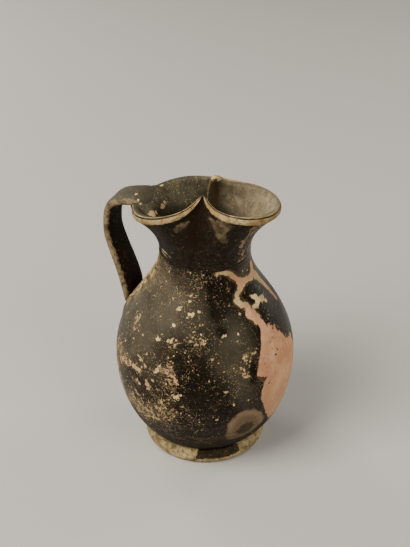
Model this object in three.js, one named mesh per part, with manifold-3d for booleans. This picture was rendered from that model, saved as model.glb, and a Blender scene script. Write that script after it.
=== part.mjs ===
// A small trefoil-mouthed wine jug (oinochoe) in fired clay. Millimetres, +Z up.
// The jug is built as a potter builds it: a thrown body, a ring foot under it, a ring of slip at the
// throat, a thrown neck whose lip is pinched in on both sides of the spout, and a strap handle.
// It stands on z = 0. The spout points to +X and the handle is on the -X side.
import * as THREE from "three";
import { mergeVertices } from "three/addons/utils/BufferGeometryUtils.js";
import Module from "manifold-3d";

const wasm = await Module();
wasm.setup();

// Ring foot
const footRadius = 26.8; // at its widest
const footHeight = 7;
const footSeatRadius = 24.9; // outer edge of the ring's top, where the body sits
const footBoreRadius = 19.6; // inner edge of the ring's top
const footBoreFlare = 1.2; // how much the bore widens towards the ground
const restingWidth = 3.2; // flat that the jug stands on
const footBoreFlareShare = 0.5; // share of the foot's height over which the bore widens
const footWaistShare = 0.62; // share of the foot's height at which its side stands upright
const footEdgeRound = 1.9; // height of the rounded toe
const footToeTuck = 0.4; // how the toe leaves the ground: inwards of the foot's widest radius ...
const footBulge = 0.85; // ... and how full its side swells
const footTopInset = 0.65; // small bevel round the top of the foot
const footTopDrop = 0.75;

// Body
const bellyRadius = 39.5;
const bellyLevel = 45;
const baseRadius = 24.5; // outside of the wall where it meets the foot
const throatRadius = 19.5; // outside of the wall at the neck joint
const throatLevel = 97;
const bodyWall = 3.4;
const floorThickness = 5;
const floorDrop = 3; // how far the rounded bottom reaches down inside the foot
const bottomFlatShare = 0.5; // shares of the bottom's radius that stay flat and that then curve up
const bottomCurveShare = 0.86;
const bottomRiseShare = 0.45; // share of the drop that the bottom has made good by then
const bowlDepthShare = 0.72; // share of the inside's depth below the belly that stays steep
const bowlFlatShare = 0.78; // share of the inside's radius that lies nearly flat
const baseSpread = 9.8; // how the wall leaves the foot: outwards ...
const baseLift = 8.6; // ... and upwards
const bellyTautBelow = 16.3; // lengths over which the wall stays upright below and above the belly
const bellyTautAbove = 24.3;
const throatTaut = 15.7; // and below the throat

// Ring of slip that binds the neck to the body
const slipHeight = 1.5;
const slipProud = 0.55;
const slipBevelShare = 0.3; // share of its height that slopes, at the bottom and again at the top

// Neck and mouth. The lip is given by the middle line of its rolled edge.
const neckWall = 3;
const lipThickness = 3.9;
const pinchedLipThickness = 2.4; // the roll is squeezed thinner at the two pinches
const lipSwell = 4; // how late the wall swells into the roll: larger keeps it thin for longer
const lipLevel = 119.5;
const lipSlope = 0.125; // the mouth rises by this share of the way from the handle to the spout
const lipDroop = 2.75; // drop of both ends below that slope
const droopReach = 30; // distance from the axis at which the drop is measured
const spoutReach = 30.5;
const spoutInset = 5.5; // the spout's half width is this much less than the throat's
const spoutHalfWidth = throatRadius - spoutInset;
const rearReach = 29.3;
const rearInset = 1.5; // the rear lobe's half width is this much less than the throat's
const rearHalfWidth = throatRadius - rearInset;
const pinchForward = 1.8; // the pinches lie this far from the axis towards the spout
const pinchHalfGap = 8.9; // from the jug's middle plane to each pinch
const pinchFold = 2.1; // roundness of the fold: larger is softer
const pinchRise = 7.2; // how much higher the lip stands at a pinch
const pinchRiseReach = 4.4; // distance along the jug at which half of that rise is left
const pinchRiseSharpness = 1.6;
const throatStretch = 0.36; // share of the neck's height that stays upright above the joint
const flareRun = 0.62; // share of the lip's overhang that the last stretch of the wall makes
const flareHeight = 0.3; // share of the neck's height that it makes

// Strap handle
const handleTurn = THREE.MathUtils.degToRad(-7); // the handle stands a little off the spout's line
const handleReach = 44.4; // from the axis to the middle of the strap at its furthest
const handleReachLevel = 98.5;
const handleRootLevel = 59.5;
const handleRootSink = 2.2; // how far the strap's middle line ends inside the shoulder's outline
const handleTongue = 5.5; // length of the strap's end that is pressed onto the inside of the lip
const handleTongueDrop = 2; // how far the end's middle line lies below the top of the lip
const handleCrest = 0.4; // height of the middle line above the top of the lip
const handleTopWidth = 15.5;
const handleMidWidth = 13;
const handleRootWidth = 16;
const handleThickness = 4.4;
const handleTongueThickness = 2.6;
const tongueEndWidth = 8.5; // the pressed end is rounded off to this width and thickness
const tongueEndThickness = 1.2;
const tongueEndLength = 0.045; // share of the strap over which it is rounded off
const handleRootThickness = 3.4;
const pressedLength = 0.16; // share of the strap, at each end, over which it is pressed thinner
const crownRun = 11.5; // length of the strap's run before it bends down
const crownFall = 0.6; // how much the strap already falls over half the tongue's length
const upperBend = 14.5; // stiffness of the bend above the furthest point ...
const lowerBend = 8; // ... and of the sweep below it
const rootApproach = 16; // length of the straight run down to the shoulder
const edgeSquareness = 0.72; // 1 gives the strap an oval section, less a squarer one

const seatGap = 0.3; // the slip between two curved faces that are stuck together

// Facets
const aroundBody = 48;
const aroundMouth = 80;
const alongProfile = 11;
const alongSmallCurve = 6;
const alongNeck = 10;
const aroundLip = 5;
const alongHandle = 26;
const aroundHandle = 18;
const tongueCrowding = 1.35; // above 1 gives the tongue more of the strap's facets
const lipMeasures = 1440; // steps in which the lip's length is measured
const sideStep = 0.13; // angle to the two neighbouring lines that give the wall its direction sideways
const weldDistance = 1e-4;

const slipTop = throatLevel + slipHeight;
const floorLevel = footHeight + floorThickness - floorDrop;

function bezier(...points) {
  return new THREE.CubicBezierCurve(...points.map(([x, y]) => new THREE.Vector2(x, y)));
}

// Moves each point of a profile at right angles to it, to the left of the way that it runs.
function offsetProfile(points, distance) {
  return points.map((point, i) => {
    const before = points[Math.max(i - 1, 0)];
    const after = points[Math.min(i + 1, points.length - 1)];
    const along = after.clone().sub(before).normalize();
    return new THREE.Vector2(point.x - along.y * distance, point.y + along.x * distance);
  });
}

// Turns a profile of (radius, height) points about the +Z axis.
function turned(profile, around = aroundBody) {
  return new THREE.LatheGeometry(profile, around).rotateX(Math.PI / 2);
}

// Outside of the body's wall, from the foot up to the throat.
function bodyOutline() {
  const lower = bezier(
    [baseRadius, footHeight],
    [baseRadius + baseSpread, footHeight + baseLift],
    [bellyRadius, bellyLevel - bellyTautBelow],
    [bellyRadius, bellyLevel],
  );
  const shoulder = bezier(
    [bellyRadius, bellyLevel],
    [bellyRadius, bellyLevel + bellyTautAbove],
    [throatRadius, throatLevel - throatTaut],
    [throatRadius, throatLevel],
  );
  return {
    lower: lower.getPoints(alongProfile),
    shoulder: shoulder.getPoints(alongProfile),
  };
}

function bodyGeometry() {
  const { lower, shoulder } = bodyOutline();
  const innerShoulder = offsetProfile(shoulder, bodyWall).reverse();
  const innerBelly = bellyRadius - bodyWall;
  const bowl = bezier(
    [innerBelly, bellyLevel],
    [innerBelly, bellyLevel - (bellyLevel - floorLevel) * bowlDepthShare],
    [innerBelly * bowlFlatShare, floorLevel],
    [0, floorLevel],
  );
  const bottomRadius = footBoreRadius - seatGap * 2;
  const bottom = bezier(
    [0, footHeight - floorDrop],
    [bottomRadius * bottomFlatShare, footHeight - floorDrop],
    [bottomRadius * bottomCurveShare, footHeight - floorDrop * (1 - bottomRiseShare)],
    [bottomRadius, footHeight],
  );
  return turned([
    ...bottom.getPoints(alongSmallCurve),
    ...lower,
    ...shoulder.slice(1),
    ...innerShoulder,
    ...bowl.getPoints(alongProfile).slice(1),
  ]);
}

// The body's outside with its hollow filled, grown by the slip's thickness. It cuts the handle's root.
function filledBodyGeometry() {
  const { lower, shoulder } = bodyOutline();
  const skin = offsetProfile([...lower, ...shoulder.slice(1)], -seatGap);
  return turned([
    new THREE.Vector2(0, skin[0].y),
    ...skin,
    new THREE.Vector2(0, skin[skin.length - 1].y),
  ]);
}

function footGeometry() {
  const restingInner = footBoreRadius + footBoreFlare;
  const restingOuter = restingInner + restingWidth;
  const outside = bezier(
    [restingOuter, 0],
    [footRadius - footToeTuck, 0],
    [footRadius + footBulge, footEdgeRound],
    [footRadius, footHeight * footWaistShare],
  );
  const seat = new THREE.Vector2(footSeatRadius, footHeight);
  const profile = [
    new THREE.Vector2(footBoreRadius, footHeight),
    new THREE.Vector2(footBoreRadius, footHeight * footBoreFlareShare),
    new THREE.Vector2(restingInner, 0),
    ...outside.getPoints(alongSmallCurve),
    new THREE.Vector2(footRadius - footTopInset, footHeight - footTopDrop),
    seat,
  ];
  profile.push(profile[0].clone());
  return turned(profile);
}

function slipGeometry() {
  const inner = throatRadius - bodyWall;
  const ridge = throatRadius + slipProud;
  const bevel = slipHeight * slipBevelShare;
  const profile = [
    new THREE.Vector2(inner, throatLevel),
    new THREE.Vector2(throatRadius, throatLevel),
    new THREE.Vector2(ridge, throatLevel + bevel),
    new THREE.Vector2(ridge, slipTop - bevel),
    new THREE.Vector2(throatRadius, slipTop),
    new THREE.Vector2(inner, slipTop),
  ];
  profile.push(profile[0].clone());
  return turned(profile);
}

// Distance to the lip from the point between the pinches, for one of the mouth's two lobes.
// Each lobe is an oval that reaches its tip on the middle plane and crosses the other at the pinches.
function lobeDistance(cosine, sine, reach, halfWidth, crossing) {
  const shift = Math.sqrt(1 - (crossing / halfWidth) ** 2);
  const halfLength = reach / (1 + shift);
  const middle = shift * halfLength;
  const a = (cosine / halfLength) ** 2 + (sine / halfWidth) ** 2;
  const b = (middle * cosine) / halfLength ** 2;
  const c = (middle / halfLength) ** 2 - 1;
  return (b + Math.sqrt(b * b - a * c)) / a;
}

// How far a point of the lip at this distance along the jug is gathered into the pinches, from 0 to 1.
function pinchAt(x) {
  return 1 / (1 + Math.abs((x - pinchForward) / pinchRiseReach) ** pinchRiseSharpness);
}

// Middle line of the lip's roll, at an angle about the point between the pinches.
function lipPoint(angle) {
  const cosine = Math.cos(angle);
  const sine = Math.sin(angle);
  const crossing = pinchHalfGap - pinchFold / 2;
  const spout = lobeDistance(cosine, sine, spoutReach - pinchForward, spoutHalfWidth, crossing);
  const rear = lobeDistance(-cosine, sine, rearReach + pinchForward, rearHalfWidth, crossing);
  const distance = (spout + rear + Math.hypot(spout - rear, pinchFold)) / 2;
  const x = pinchForward + distance * cosine;
  const level = lipLevel + lipSlope * x - lipDroop * (x / droopReach) ** 2 + pinchRise * pinchAt(x);
  return new THREE.Vector3(x, distance * sine, level);
}

// Angles that divide the lip into equal lengths, counting its inside and its outside, so that the
// tight folds at the pinches get their share of the facets.
function lipAngles() {
  const at = (i) => lipPoint((i / lipMeasures) * 2 * Math.PI);
  const inside = (i) => {
    const along = at(i + 1).sub(at(i - 1)).setZ(0).normalize();
    return at(i).add(new THREE.Vector3(-along.y, along.x, 0).multiplyScalar(lipThickness));
  };
  const lengths = [0];
  for (let i = 1; i <= lipMeasures; i++) {
    const length = at(i).distanceTo(at(i - 1)) + inside(i).distanceTo(inside(i - 1));
    lengths.push(lengths[i - 1] + length);
  }
  const angles = [];
  let i = 0;
  for (let k = 0; k < aroundMouth; k++) {
    const wanted = (lengths[lipMeasures] * k) / aroundMouth;
    while (lengths[i + 1] < wanted) i++;
    const share = (wanted - lengths[i]) / (lengths[i + 1] - lengths[i]);
    angles.push(((i + share) / lipMeasures) * 2 * Math.PI);
  }
  return angles;
}

// A line up the middle of the neck's wall, from the joint to the lip.
function neckLine(angle) {
  const lip = lipPoint(angle);
  const rise = lip.z - slipTop;
  const out = new THREE.Vector3(Math.cos(angle), Math.sin(angle), 0);
  const foot = out.multiplyScalar(throatRadius - neckWall / 2).setZ(slipTop);
  const above = foot.clone().setZ(slipTop + rise * throatStretch);
  const under = lip.clone().lerp(foot, flareRun).setZ(lip.z - rise * flareHeight);
  return new THREE.CubicBezierCurve3(foot, above, under, lip);
}

// The neck's wall as one closed sheet: up the outside, over the rounded lip and down the inside.
// A growth above zero gives the same neck with every face moved out by that much.
function neckGeometry(growth = 0) {
  const angles = lipAngles();
  const positions = [];
  const rows = 2 * (alongNeck + 1) + aroundLip - 1;
  for (const angle of angles) {
    const line = neckLine(angle);
    const side = neckLine(angle + sideStep);
    const otherSide = neckLine(angle - sideStep);
    const pinch = pinchAt(lipPoint(angle).x);
    const lipHere = THREE.MathUtils.lerp(lipThickness, pinchedLipThickness, pinch);
    const halfAt = (v) => growth + (neckWall + (lipHere - neckWall) * v ** lipSwell) / 2;
    const frameAt = (v) => {
      const up = line.getTangent(v);
      const across = side.getPoint(v).sub(otherSide.getPoint(v)).normalize();
      return { point: line.getPoint(v), up, out: across.cross(up).normalize() };
    };
    const column = [];
    for (let k = 0; k <= alongNeck; k++) {
      const { point, out } = frameAt(k / alongNeck);
      column.push(point.addScaledVector(out, halfAt(k / alongNeck)));
    }
    const { point: middle, up, out } = frameAt(1);
    for (let k = 1; k < aroundLip; k++) {
      const turn = (k / aroundLip) * Math.PI;
      const around = out.clone().multiplyScalar(Math.cos(turn)).addScaledVector(up, Math.sin(turn));
      column.push(middle.clone().addScaledVector(around, halfAt(1)));
    }
    for (let k = alongNeck; k >= 0; k--) {
      const { point, out } = frameAt(k / alongNeck);
      column.push(point.addScaledVector(out, -halfAt(k / alongNeck)));
    }
    column.forEach((point) => positions.push(point.x, point.y, point.z));
  }
  return closedGrid(positions, angles.length, rows);
}

// Joins columns of points into a surface that closes on itself both ways.
function closedGrid(positions, columns, rows) {
  const index = [];
  for (let c = 0; c < columns; c++) {
    for (let r = 0; r < rows; r++) {
      const next = (c + 1) % columns;
      const above = (r + 1) % rows;
      const corner = [c * rows + r, next * rows + r, next * rows + above, c * rows + above];
      index.push(corner[0], corner[1], corner[2], corner[0], corner[2], corner[3]);
    }
  }
  const geometry = new THREE.BufferGeometry();
  geometry.setAttribute("position", new THREE.Float32BufferAttribute(positions, 3));
  geometry.setIndex(index);
  return geometry;
}

// Radius of the body's outside at a height on the shoulder.
function shoulderRadius(level) {
  const { shoulder } = bodyOutline();
  const i = shoulder.findIndex((point) => point.y >= level);
  const [below, above] = [shoulder[i - 1], shoulder[i]];
  const share = (level - below.y) / (above.y - below.y);
  return below.x + (above.x - below.x) * share;
}

// Middle line of the handle, as (distance from the axis, height).
function handleLine() {
  const lip = lipPoint(Math.PI);
  const lipTop = lip.z + lipThickness / 2;
  const tongue = [rearReach - handleTongue, lipTop - handleTongueDrop];
  const crest = [rearReach, lipTop + handleCrest];
  const furthest = [handleReach, handleReachLevel];
  const root = [shoulderRadius(handleRootLevel) - handleRootSink, handleRootLevel];
  const half = handleTongue / 2;
  const path = new THREE.CurvePath();
  path.add(bezier(tongue, [tongue[0] + half, crest[1]], [crest[0] - half, crest[1] + crownFall], crest));
  path.add(
    bezier(
      crest,
      [crest[0] + crownRun, crest[1] - (crownFall * crownRun) / half],
      [furthest[0], furthest[1] + upperBend],
      furthest,
    ),
  );
  path.add(
    bezier(
      furthest,
      [furthest[0], furthest[1] - lowerBend],
      [root[0], root[1] + rootApproach],
      root,
    ),
  );
  return path;
}

// Width and thickness of the strap at a share of its length.
function strapSize(t) {
  const ease = (from, to, start, end) =>
    THREE.MathUtils.lerp(from, to, THREE.MathUtils.smoothstep(t, start, end));
  const width =
    t < 0.5
      ? ease(handleTopWidth, handleMidWidth, 0, 0.5)
      : ease(handleMidWidth, handleRootWidth, 0.5, 1);
  const thickness =
    t < 0.5
      ? ease(handleTongueThickness, handleThickness, 0, pressedLength)
      : ease(handleThickness, handleRootThickness, 1 - pressedLength, 1);
  const short = Math.max(1 - t / tongueEndLength, 0);
  const roundness = Math.sqrt(1 - short ** 2);
  return {
    width: THREE.MathUtils.lerp(tongueEndWidth, width, roundness),
    thickness: THREE.MathUtils.lerp(tongueEndThickness, thickness, roundness),
  };
}

// A strap along the handle's line, wide across it and rounded at its edges.
function handleStrapGeometry() {
  const path = handleLine();
  const positions = [];
  for (let i = 0; i <= alongHandle; i++) {
    const t = (i / alongHandle) ** tongueCrowding;
    const middle = path.getPointAt(t);
    const along = path.getTangentAt(t);
    const { width, thickness } = strapSize(t);
    for (let k = 0; k < aroundHandle; k++) {
      const turn = (k / aroundHandle) * 2 * Math.PI;
      const squared = (value) => Math.sign(value) * Math.abs(value) ** edgeSquareness;
      const across = (squared(Math.cos(turn)) * width) / 2;
      const depth = (squared(Math.sin(turn)) * thickness) / 2;
      positions.push(-(middle.x - along.y * depth), -across, middle.y + along.x * depth);
    }
  }
  const index = [];
  for (let i = 0; i < alongHandle; i++) {
    for (let k = 0; k < aroundHandle; k++) {
      const next = (k + 1) % aroundHandle;
      const [a, b] = [i * aroundHandle + k, i * aroundHandle + next];
      const [c, d] = [a + aroundHandle, b + aroundHandle];
      index.push(a, b, d, a, d, c);
    }
  }
  const last = alongHandle * aroundHandle;
  for (let k = 1; k < aroundHandle - 1; k++) {
    index.push(0, k + 1, k, last, last + k, last + k + 1);
  }
  const geometry = new THREE.BufferGeometry();
  geometry.setAttribute("position", new THREE.Float32BufferAttribute(positions, 3));
  geometry.setIndex(index);
  return geometry.rotateZ(handleTurn);
}

function solidOf(geometry) {
  const bare = geometry.clone();
  bare.deleteAttribute("normal");
  bare.deleteAttribute("uv");
  const merged = mergeVertices(bare, weldDistance);
  return new wasm.Manifold(
    new wasm.Mesh({
      numProp: 3,
      vertProperties: merged.attributes.position.array,
      triVerts: new Uint32Array(merged.index.array),
    }),
  );
}

function geometryOf(solid) {
  const mesh = solid.getMesh();
  const geometry = new THREE.BufferGeometry();
  geometry.setAttribute("position", new THREE.BufferAttribute(mesh.vertProperties, 3));
  geometry.setIndex(new THREE.BufferAttribute(mesh.triVerts, 1));
  return geometry;
}

// The strap cut to lie over the lip and against the shoulder.
function handleGeometry() {
  const cut = solidOf(handleStrapGeometry())
    .subtract(solidOf(neckGeometry(seatGap)))
    .subtract(solidOf(filledBodyGeometry()));
  const pieces = cut.decompose().sort((a, b) => b.volume() - a.volume());
  return geometryOf(pieces[0]);
}

function fired(name, geometry, color, roughness) {
  const material = new THREE.MeshStandardMaterial({ color, roughness, metalness: 0 });
  const mesh = new THREE.Mesh(geometry.toNonIndexed(), material);
  mesh.geometry.computeVertexNormals();
  mesh.name = name;
  return mesh;
}

const blackGloss = 0x2c2a26;
const wornClay = 0xb59a74;

const jug = new THREE.Group();
jug.add(fired("foot_ring", footGeometry(), wornClay, 0.85));
jug.add(fired("body", bodyGeometry(), blackGloss, 0.45));
jug.add(fired("neck_joint_ring", slipGeometry(), blackGloss, 0.6));
jug.add(fired("neck_and_mouth", neckGeometry(), blackGloss, 0.5));
jug.add(fired("handle", handleGeometry(), blackGloss, 0.5));

// The origin is under the middle of the jug's outline, on the surface that it stands on.
const outline = new THREE.Box3().setFromObject(jug);
jug.children.forEach((piece) => {
  piece.position.set(-(outline.min.x + outline.max.x) / 2, -(outline.min.y + outline.max.y) / 2, 0);
});

export default jug;
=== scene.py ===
import math

import bpy
import numpy as np
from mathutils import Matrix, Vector

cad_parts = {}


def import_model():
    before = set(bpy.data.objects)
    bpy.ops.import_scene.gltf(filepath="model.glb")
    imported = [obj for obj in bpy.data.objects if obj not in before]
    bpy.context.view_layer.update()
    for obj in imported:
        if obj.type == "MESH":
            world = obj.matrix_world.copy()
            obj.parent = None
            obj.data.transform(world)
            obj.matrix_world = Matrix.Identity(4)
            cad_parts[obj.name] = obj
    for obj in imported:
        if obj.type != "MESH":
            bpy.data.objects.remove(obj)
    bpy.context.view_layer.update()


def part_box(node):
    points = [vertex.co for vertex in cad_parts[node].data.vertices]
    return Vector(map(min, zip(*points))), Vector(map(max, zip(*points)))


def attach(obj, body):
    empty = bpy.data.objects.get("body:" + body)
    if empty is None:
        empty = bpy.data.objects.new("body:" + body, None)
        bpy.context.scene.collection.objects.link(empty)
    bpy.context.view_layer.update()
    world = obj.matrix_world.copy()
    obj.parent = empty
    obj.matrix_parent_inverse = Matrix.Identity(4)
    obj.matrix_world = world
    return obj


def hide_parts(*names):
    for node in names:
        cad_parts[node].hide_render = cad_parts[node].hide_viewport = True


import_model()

# A small black-gloss wine jug with a pinched mouth. The shapes are worked out in millimetres about the
# jug's own axis, with the height from the table, and go to Blender in metres at the frame's place.
bodyLow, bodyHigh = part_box("body")
axisX = (bodyLow.x + bodyHigh.x) / 2
axisY = (bodyLow.y + bodyHigh.y) / 2


# Small helpers for shapes

def cubic(a, b, c, d, count):
    t = np.linspace(0, 1, count)[:, None]
    a, b, c, d = (np.array(p, float) for p in (a, b, c, d))
    return (1 - t) ** 3 * a + 3 * (1 - t) ** 2 * t * b + 3 * (1 - t) * t * t * c + t ** 3 * d


def respaced(line, step):  # the same line with its points at equal steps
    length = np.concatenate([[0], np.cumsum(np.linalg.norm(np.diff(line, axis=0), axis=1))])
    wanted = np.linspace(0, length[-1], max(int(round(length[-1] / step)), 2) + 1)
    return np.stack([np.interp(wanted, length, line[:, k]) for k in range(line.shape[1])], axis=1)


def smooth(value, low, high):
    t = np.clip((value - low) / (high - low), 0, 1)
    return t * t * (3 - 2 * t)


def unit(vectors):  # the same directions, each of length one
    return vectors / np.linalg.norm(vectors, axis=-1, keepdims=True)


def nearAngle(angle, middle, width):  # 1 at an angle round the jug, fading out on both sides of it
    return np.exp(-((((angle - middle + 180) % 360) - 180) / width) ** 2)


def gridMesh(name, points, closedRows=False, capStart=False, capEnd=False):
    # points has one row for each step along the piece and one column for each step around it
    rows, columns = points.shape[:2]
    across = np.arange(columns)
    beside = (across + 1) % columns
    steps = np.arange(rows if closedRows else rows - 1)
    low = steps[:, None] * columns
    high = ((steps + 1) % rows)[:, None] * columns
    faces = np.stack([low + across, low + beside, high + beside, high + across], axis=2).reshape(-1, 4)
    verts = points.reshape(-1, 3)
    ends = []
    if capStart:
        ends.append(list(range(columns))[::-1])
    if capEnd:
        ends.append([(rows - 1) * columns + k for k in range(columns)])
    placed = verts / 1000 + np.array([axisX, axisY, 0])
    mesh = bpy.data.meshes.new(name)
    mesh.from_pydata(placed.tolist(), [], faces.tolist() + ends)
    mesh.update()
    mesh.shade_smooth()
    piece = bpy.data.objects.new(name, mesh)
    bpy.context.scene.collection.objects.link(piece)
    return piece


def verticesOf(piece):
    flat = np.zeros(len(piece.data.vertices) * 3)
    piece.data.vertices.foreach_get("co", flat)
    return (flat.reshape(-1, 3) - np.array([axisX, axisY, 0])) * 1000


def normalsOf(piece):
    flat = np.zeros(len(piece.data.vertices) * 3)
    piece.data.vertex_normals.foreach_get("vector", flat)
    return flat.reshape(-1, 3)


def moveVertices(piece, points):
    placed = points / 1000 + np.array([axisX, axisY, 0])
    piece.data.vertices.foreach_set("co", placed.ravel())
    piece.data.update()


def record(piece, name, values):  # keeps a value for each point of the mesh, for the materials
    layer = piece.data.attributes.new(name, "FLOAT", "POINT")
    layer.data.foreach_set("value", np.asarray(values, np.float32).ravel())


def waves(points, size, seed):  # slow unevenness of a hand-thrown wall, from -1 to 1
    spin = np.random.default_rng(seed)
    total = np.zeros(len(points))
    for _ in range(7):
        direction = spin.normal(size=3)
        direction /= np.linalg.norm(direction)
        pace = 2 * math.pi / (size * (0.7 + 0.6 * spin.random()))
        total += np.sin(points @ direction * pace + spin.random() * 6.3)
    return total / 4


# Body

jugBody = {
    "bellyRadius": 39.5, "bellyLevel": 45.0, "baseRadius": 24.5, "footHeight": 7.0,
    "throatRadius": 19.5, "throatLevel": 97.0, "wall": 3.4,
    "baseSpread": 9.8, "baseLift": 8.6, "tautBelow": 16.3, "tautAbove": 24.3, "throatTaut": 15.7,
    "floorLevel": 9.0, "floorDrop": 0.72, "floorWidth": 0.78,
    "bottomLevel": 4.0, "bottomRadius": 19.0, "bottomFlat": 9.5, "bottomBend": (16.3, 5.35),
    "around": 540, "step": 0.55, "innerStep": 2.0, "outlineStep": 0.4, "middleHole": 0.3, "jointRise": 0.4,
    # unevenness: how deep, the size and seed of its waves, and the heights between which it comes and goes
    "unevenness": 0.22, "sagWaves": (46, 3), "evenBelow": (9, 22), "evenAbove": (84, 95),
    "turningDepth": 0.014, "turningPace": 1.75, "turningWaves": (60, 8),
}


def bodyOutline(step):
    j = jugBody
    belly = (j["bellyRadius"], j["bellyLevel"])
    lower = cubic(
        (j["baseRadius"], j["footHeight"]),
        (j["baseRadius"] + j["baseSpread"], j["footHeight"] + j["baseLift"]),
        (j["bellyRadius"], j["bellyLevel"] - j["tautBelow"]), belly, 200)
    upper = cubic(
        belly, (j["bellyRadius"], j["bellyLevel"] + j["tautAbove"]),
        (j["throatRadius"], j["throatLevel"] - j["throatTaut"]), (j["throatRadius"], j["throatLevel"]), 200)
    return respaced(np.concatenate([lower, upper[1:]]), step)


def outlineByHeight():
    outline = bodyOutline(jugBody["outlineStep"])
    return outline[np.argsort(outline[:, 1])]


def turnedPoints(profile, around):
    angle = np.arange(around) * 2 * math.pi / around
    x = profile[:, 0][:, None] * np.cos(angle)
    y = profile[:, 0][:, None] * np.sin(angle)
    z = np.repeat(profile[:, 1][:, None], around, axis=1)
    return np.stack([x, y, z], axis=2)


def makeBody():
    j = jugBody
    outside = bodyOutline(j["step"])
    along = unit(np.gradient(outside, axis=0))
    inside = outside + np.stack([-along[:, 1], along[:, 0]], axis=1) * j["wall"]
    inside = inside[inside[:, 1] > j["bellyLevel"]][::-1]
    inside = respaced(inside, j["innerStep"])
    hollow = j["bellyRadius"] - j["wall"]
    depth = j["bellyLevel"] - j["floorLevel"]
    bowl = respaced(cubic(
        (hollow, j["bellyLevel"]), (hollow, j["bellyLevel"] - depth * j["floorDrop"]),
        (hollow * j["floorWidth"], j["floorLevel"]), (j["middleHole"], j["floorLevel"]), 80), j["innerStep"])
    bottom = respaced(cubic(
        (j["middleHole"], j["bottomLevel"]), (j["bottomFlat"], j["bottomLevel"]), j["bottomBend"],
        (j["bottomRadius"], j["footHeight"]), 60), j["innerStep"])
    jointLevel = j["throatLevel"] + j["jointRise"]
    throatTop = np.array([[j["throatRadius"], jointLevel], [j["throatRadius"] - j["wall"], jointLevel]])
    profile = np.concatenate([bottom, outside, throatTop, inside[1:], bowl])
    piece = gridMesh("body_wall", turnedPoints(profile, j["around"]), capStart=True, capEnd=True)
    points = verticesOf(piece)
    outer = np.zeros((len(profile), j["around"]))
    outer[len(bottom):len(bottom) + len(outside)] = 1
    outer = outer.ravel()
    radius = np.hypot(points[:, 0], points[:, 1])
    belly = smooth(points[:, 2], *j["evenBelow"]) * (1 - smooth(points[:, 2], *j["evenAbove"]))
    sag = (waves(points, *j["sagWaves"]) - 0.9) * j["unevenness"] * 0.5
    pace = points[:, 2] * j["turningPace"] + waves(points, *j["turningWaves"]) * 1.2
    push = outer * belly * (sag + np.sin(pace) * j["turningDepth"])
    points[:, :2] *= (1 + push / np.maximum(radius, 1))[:, None]
    moveVertices(piece, points)
    return piece, outer


# Where the gloss is lost or dull on the outside of the body, and where its sheen is painted as an olive veil:
# angle round it from the spout's side, height, then for some a size in millimetres, and a strength

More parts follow.
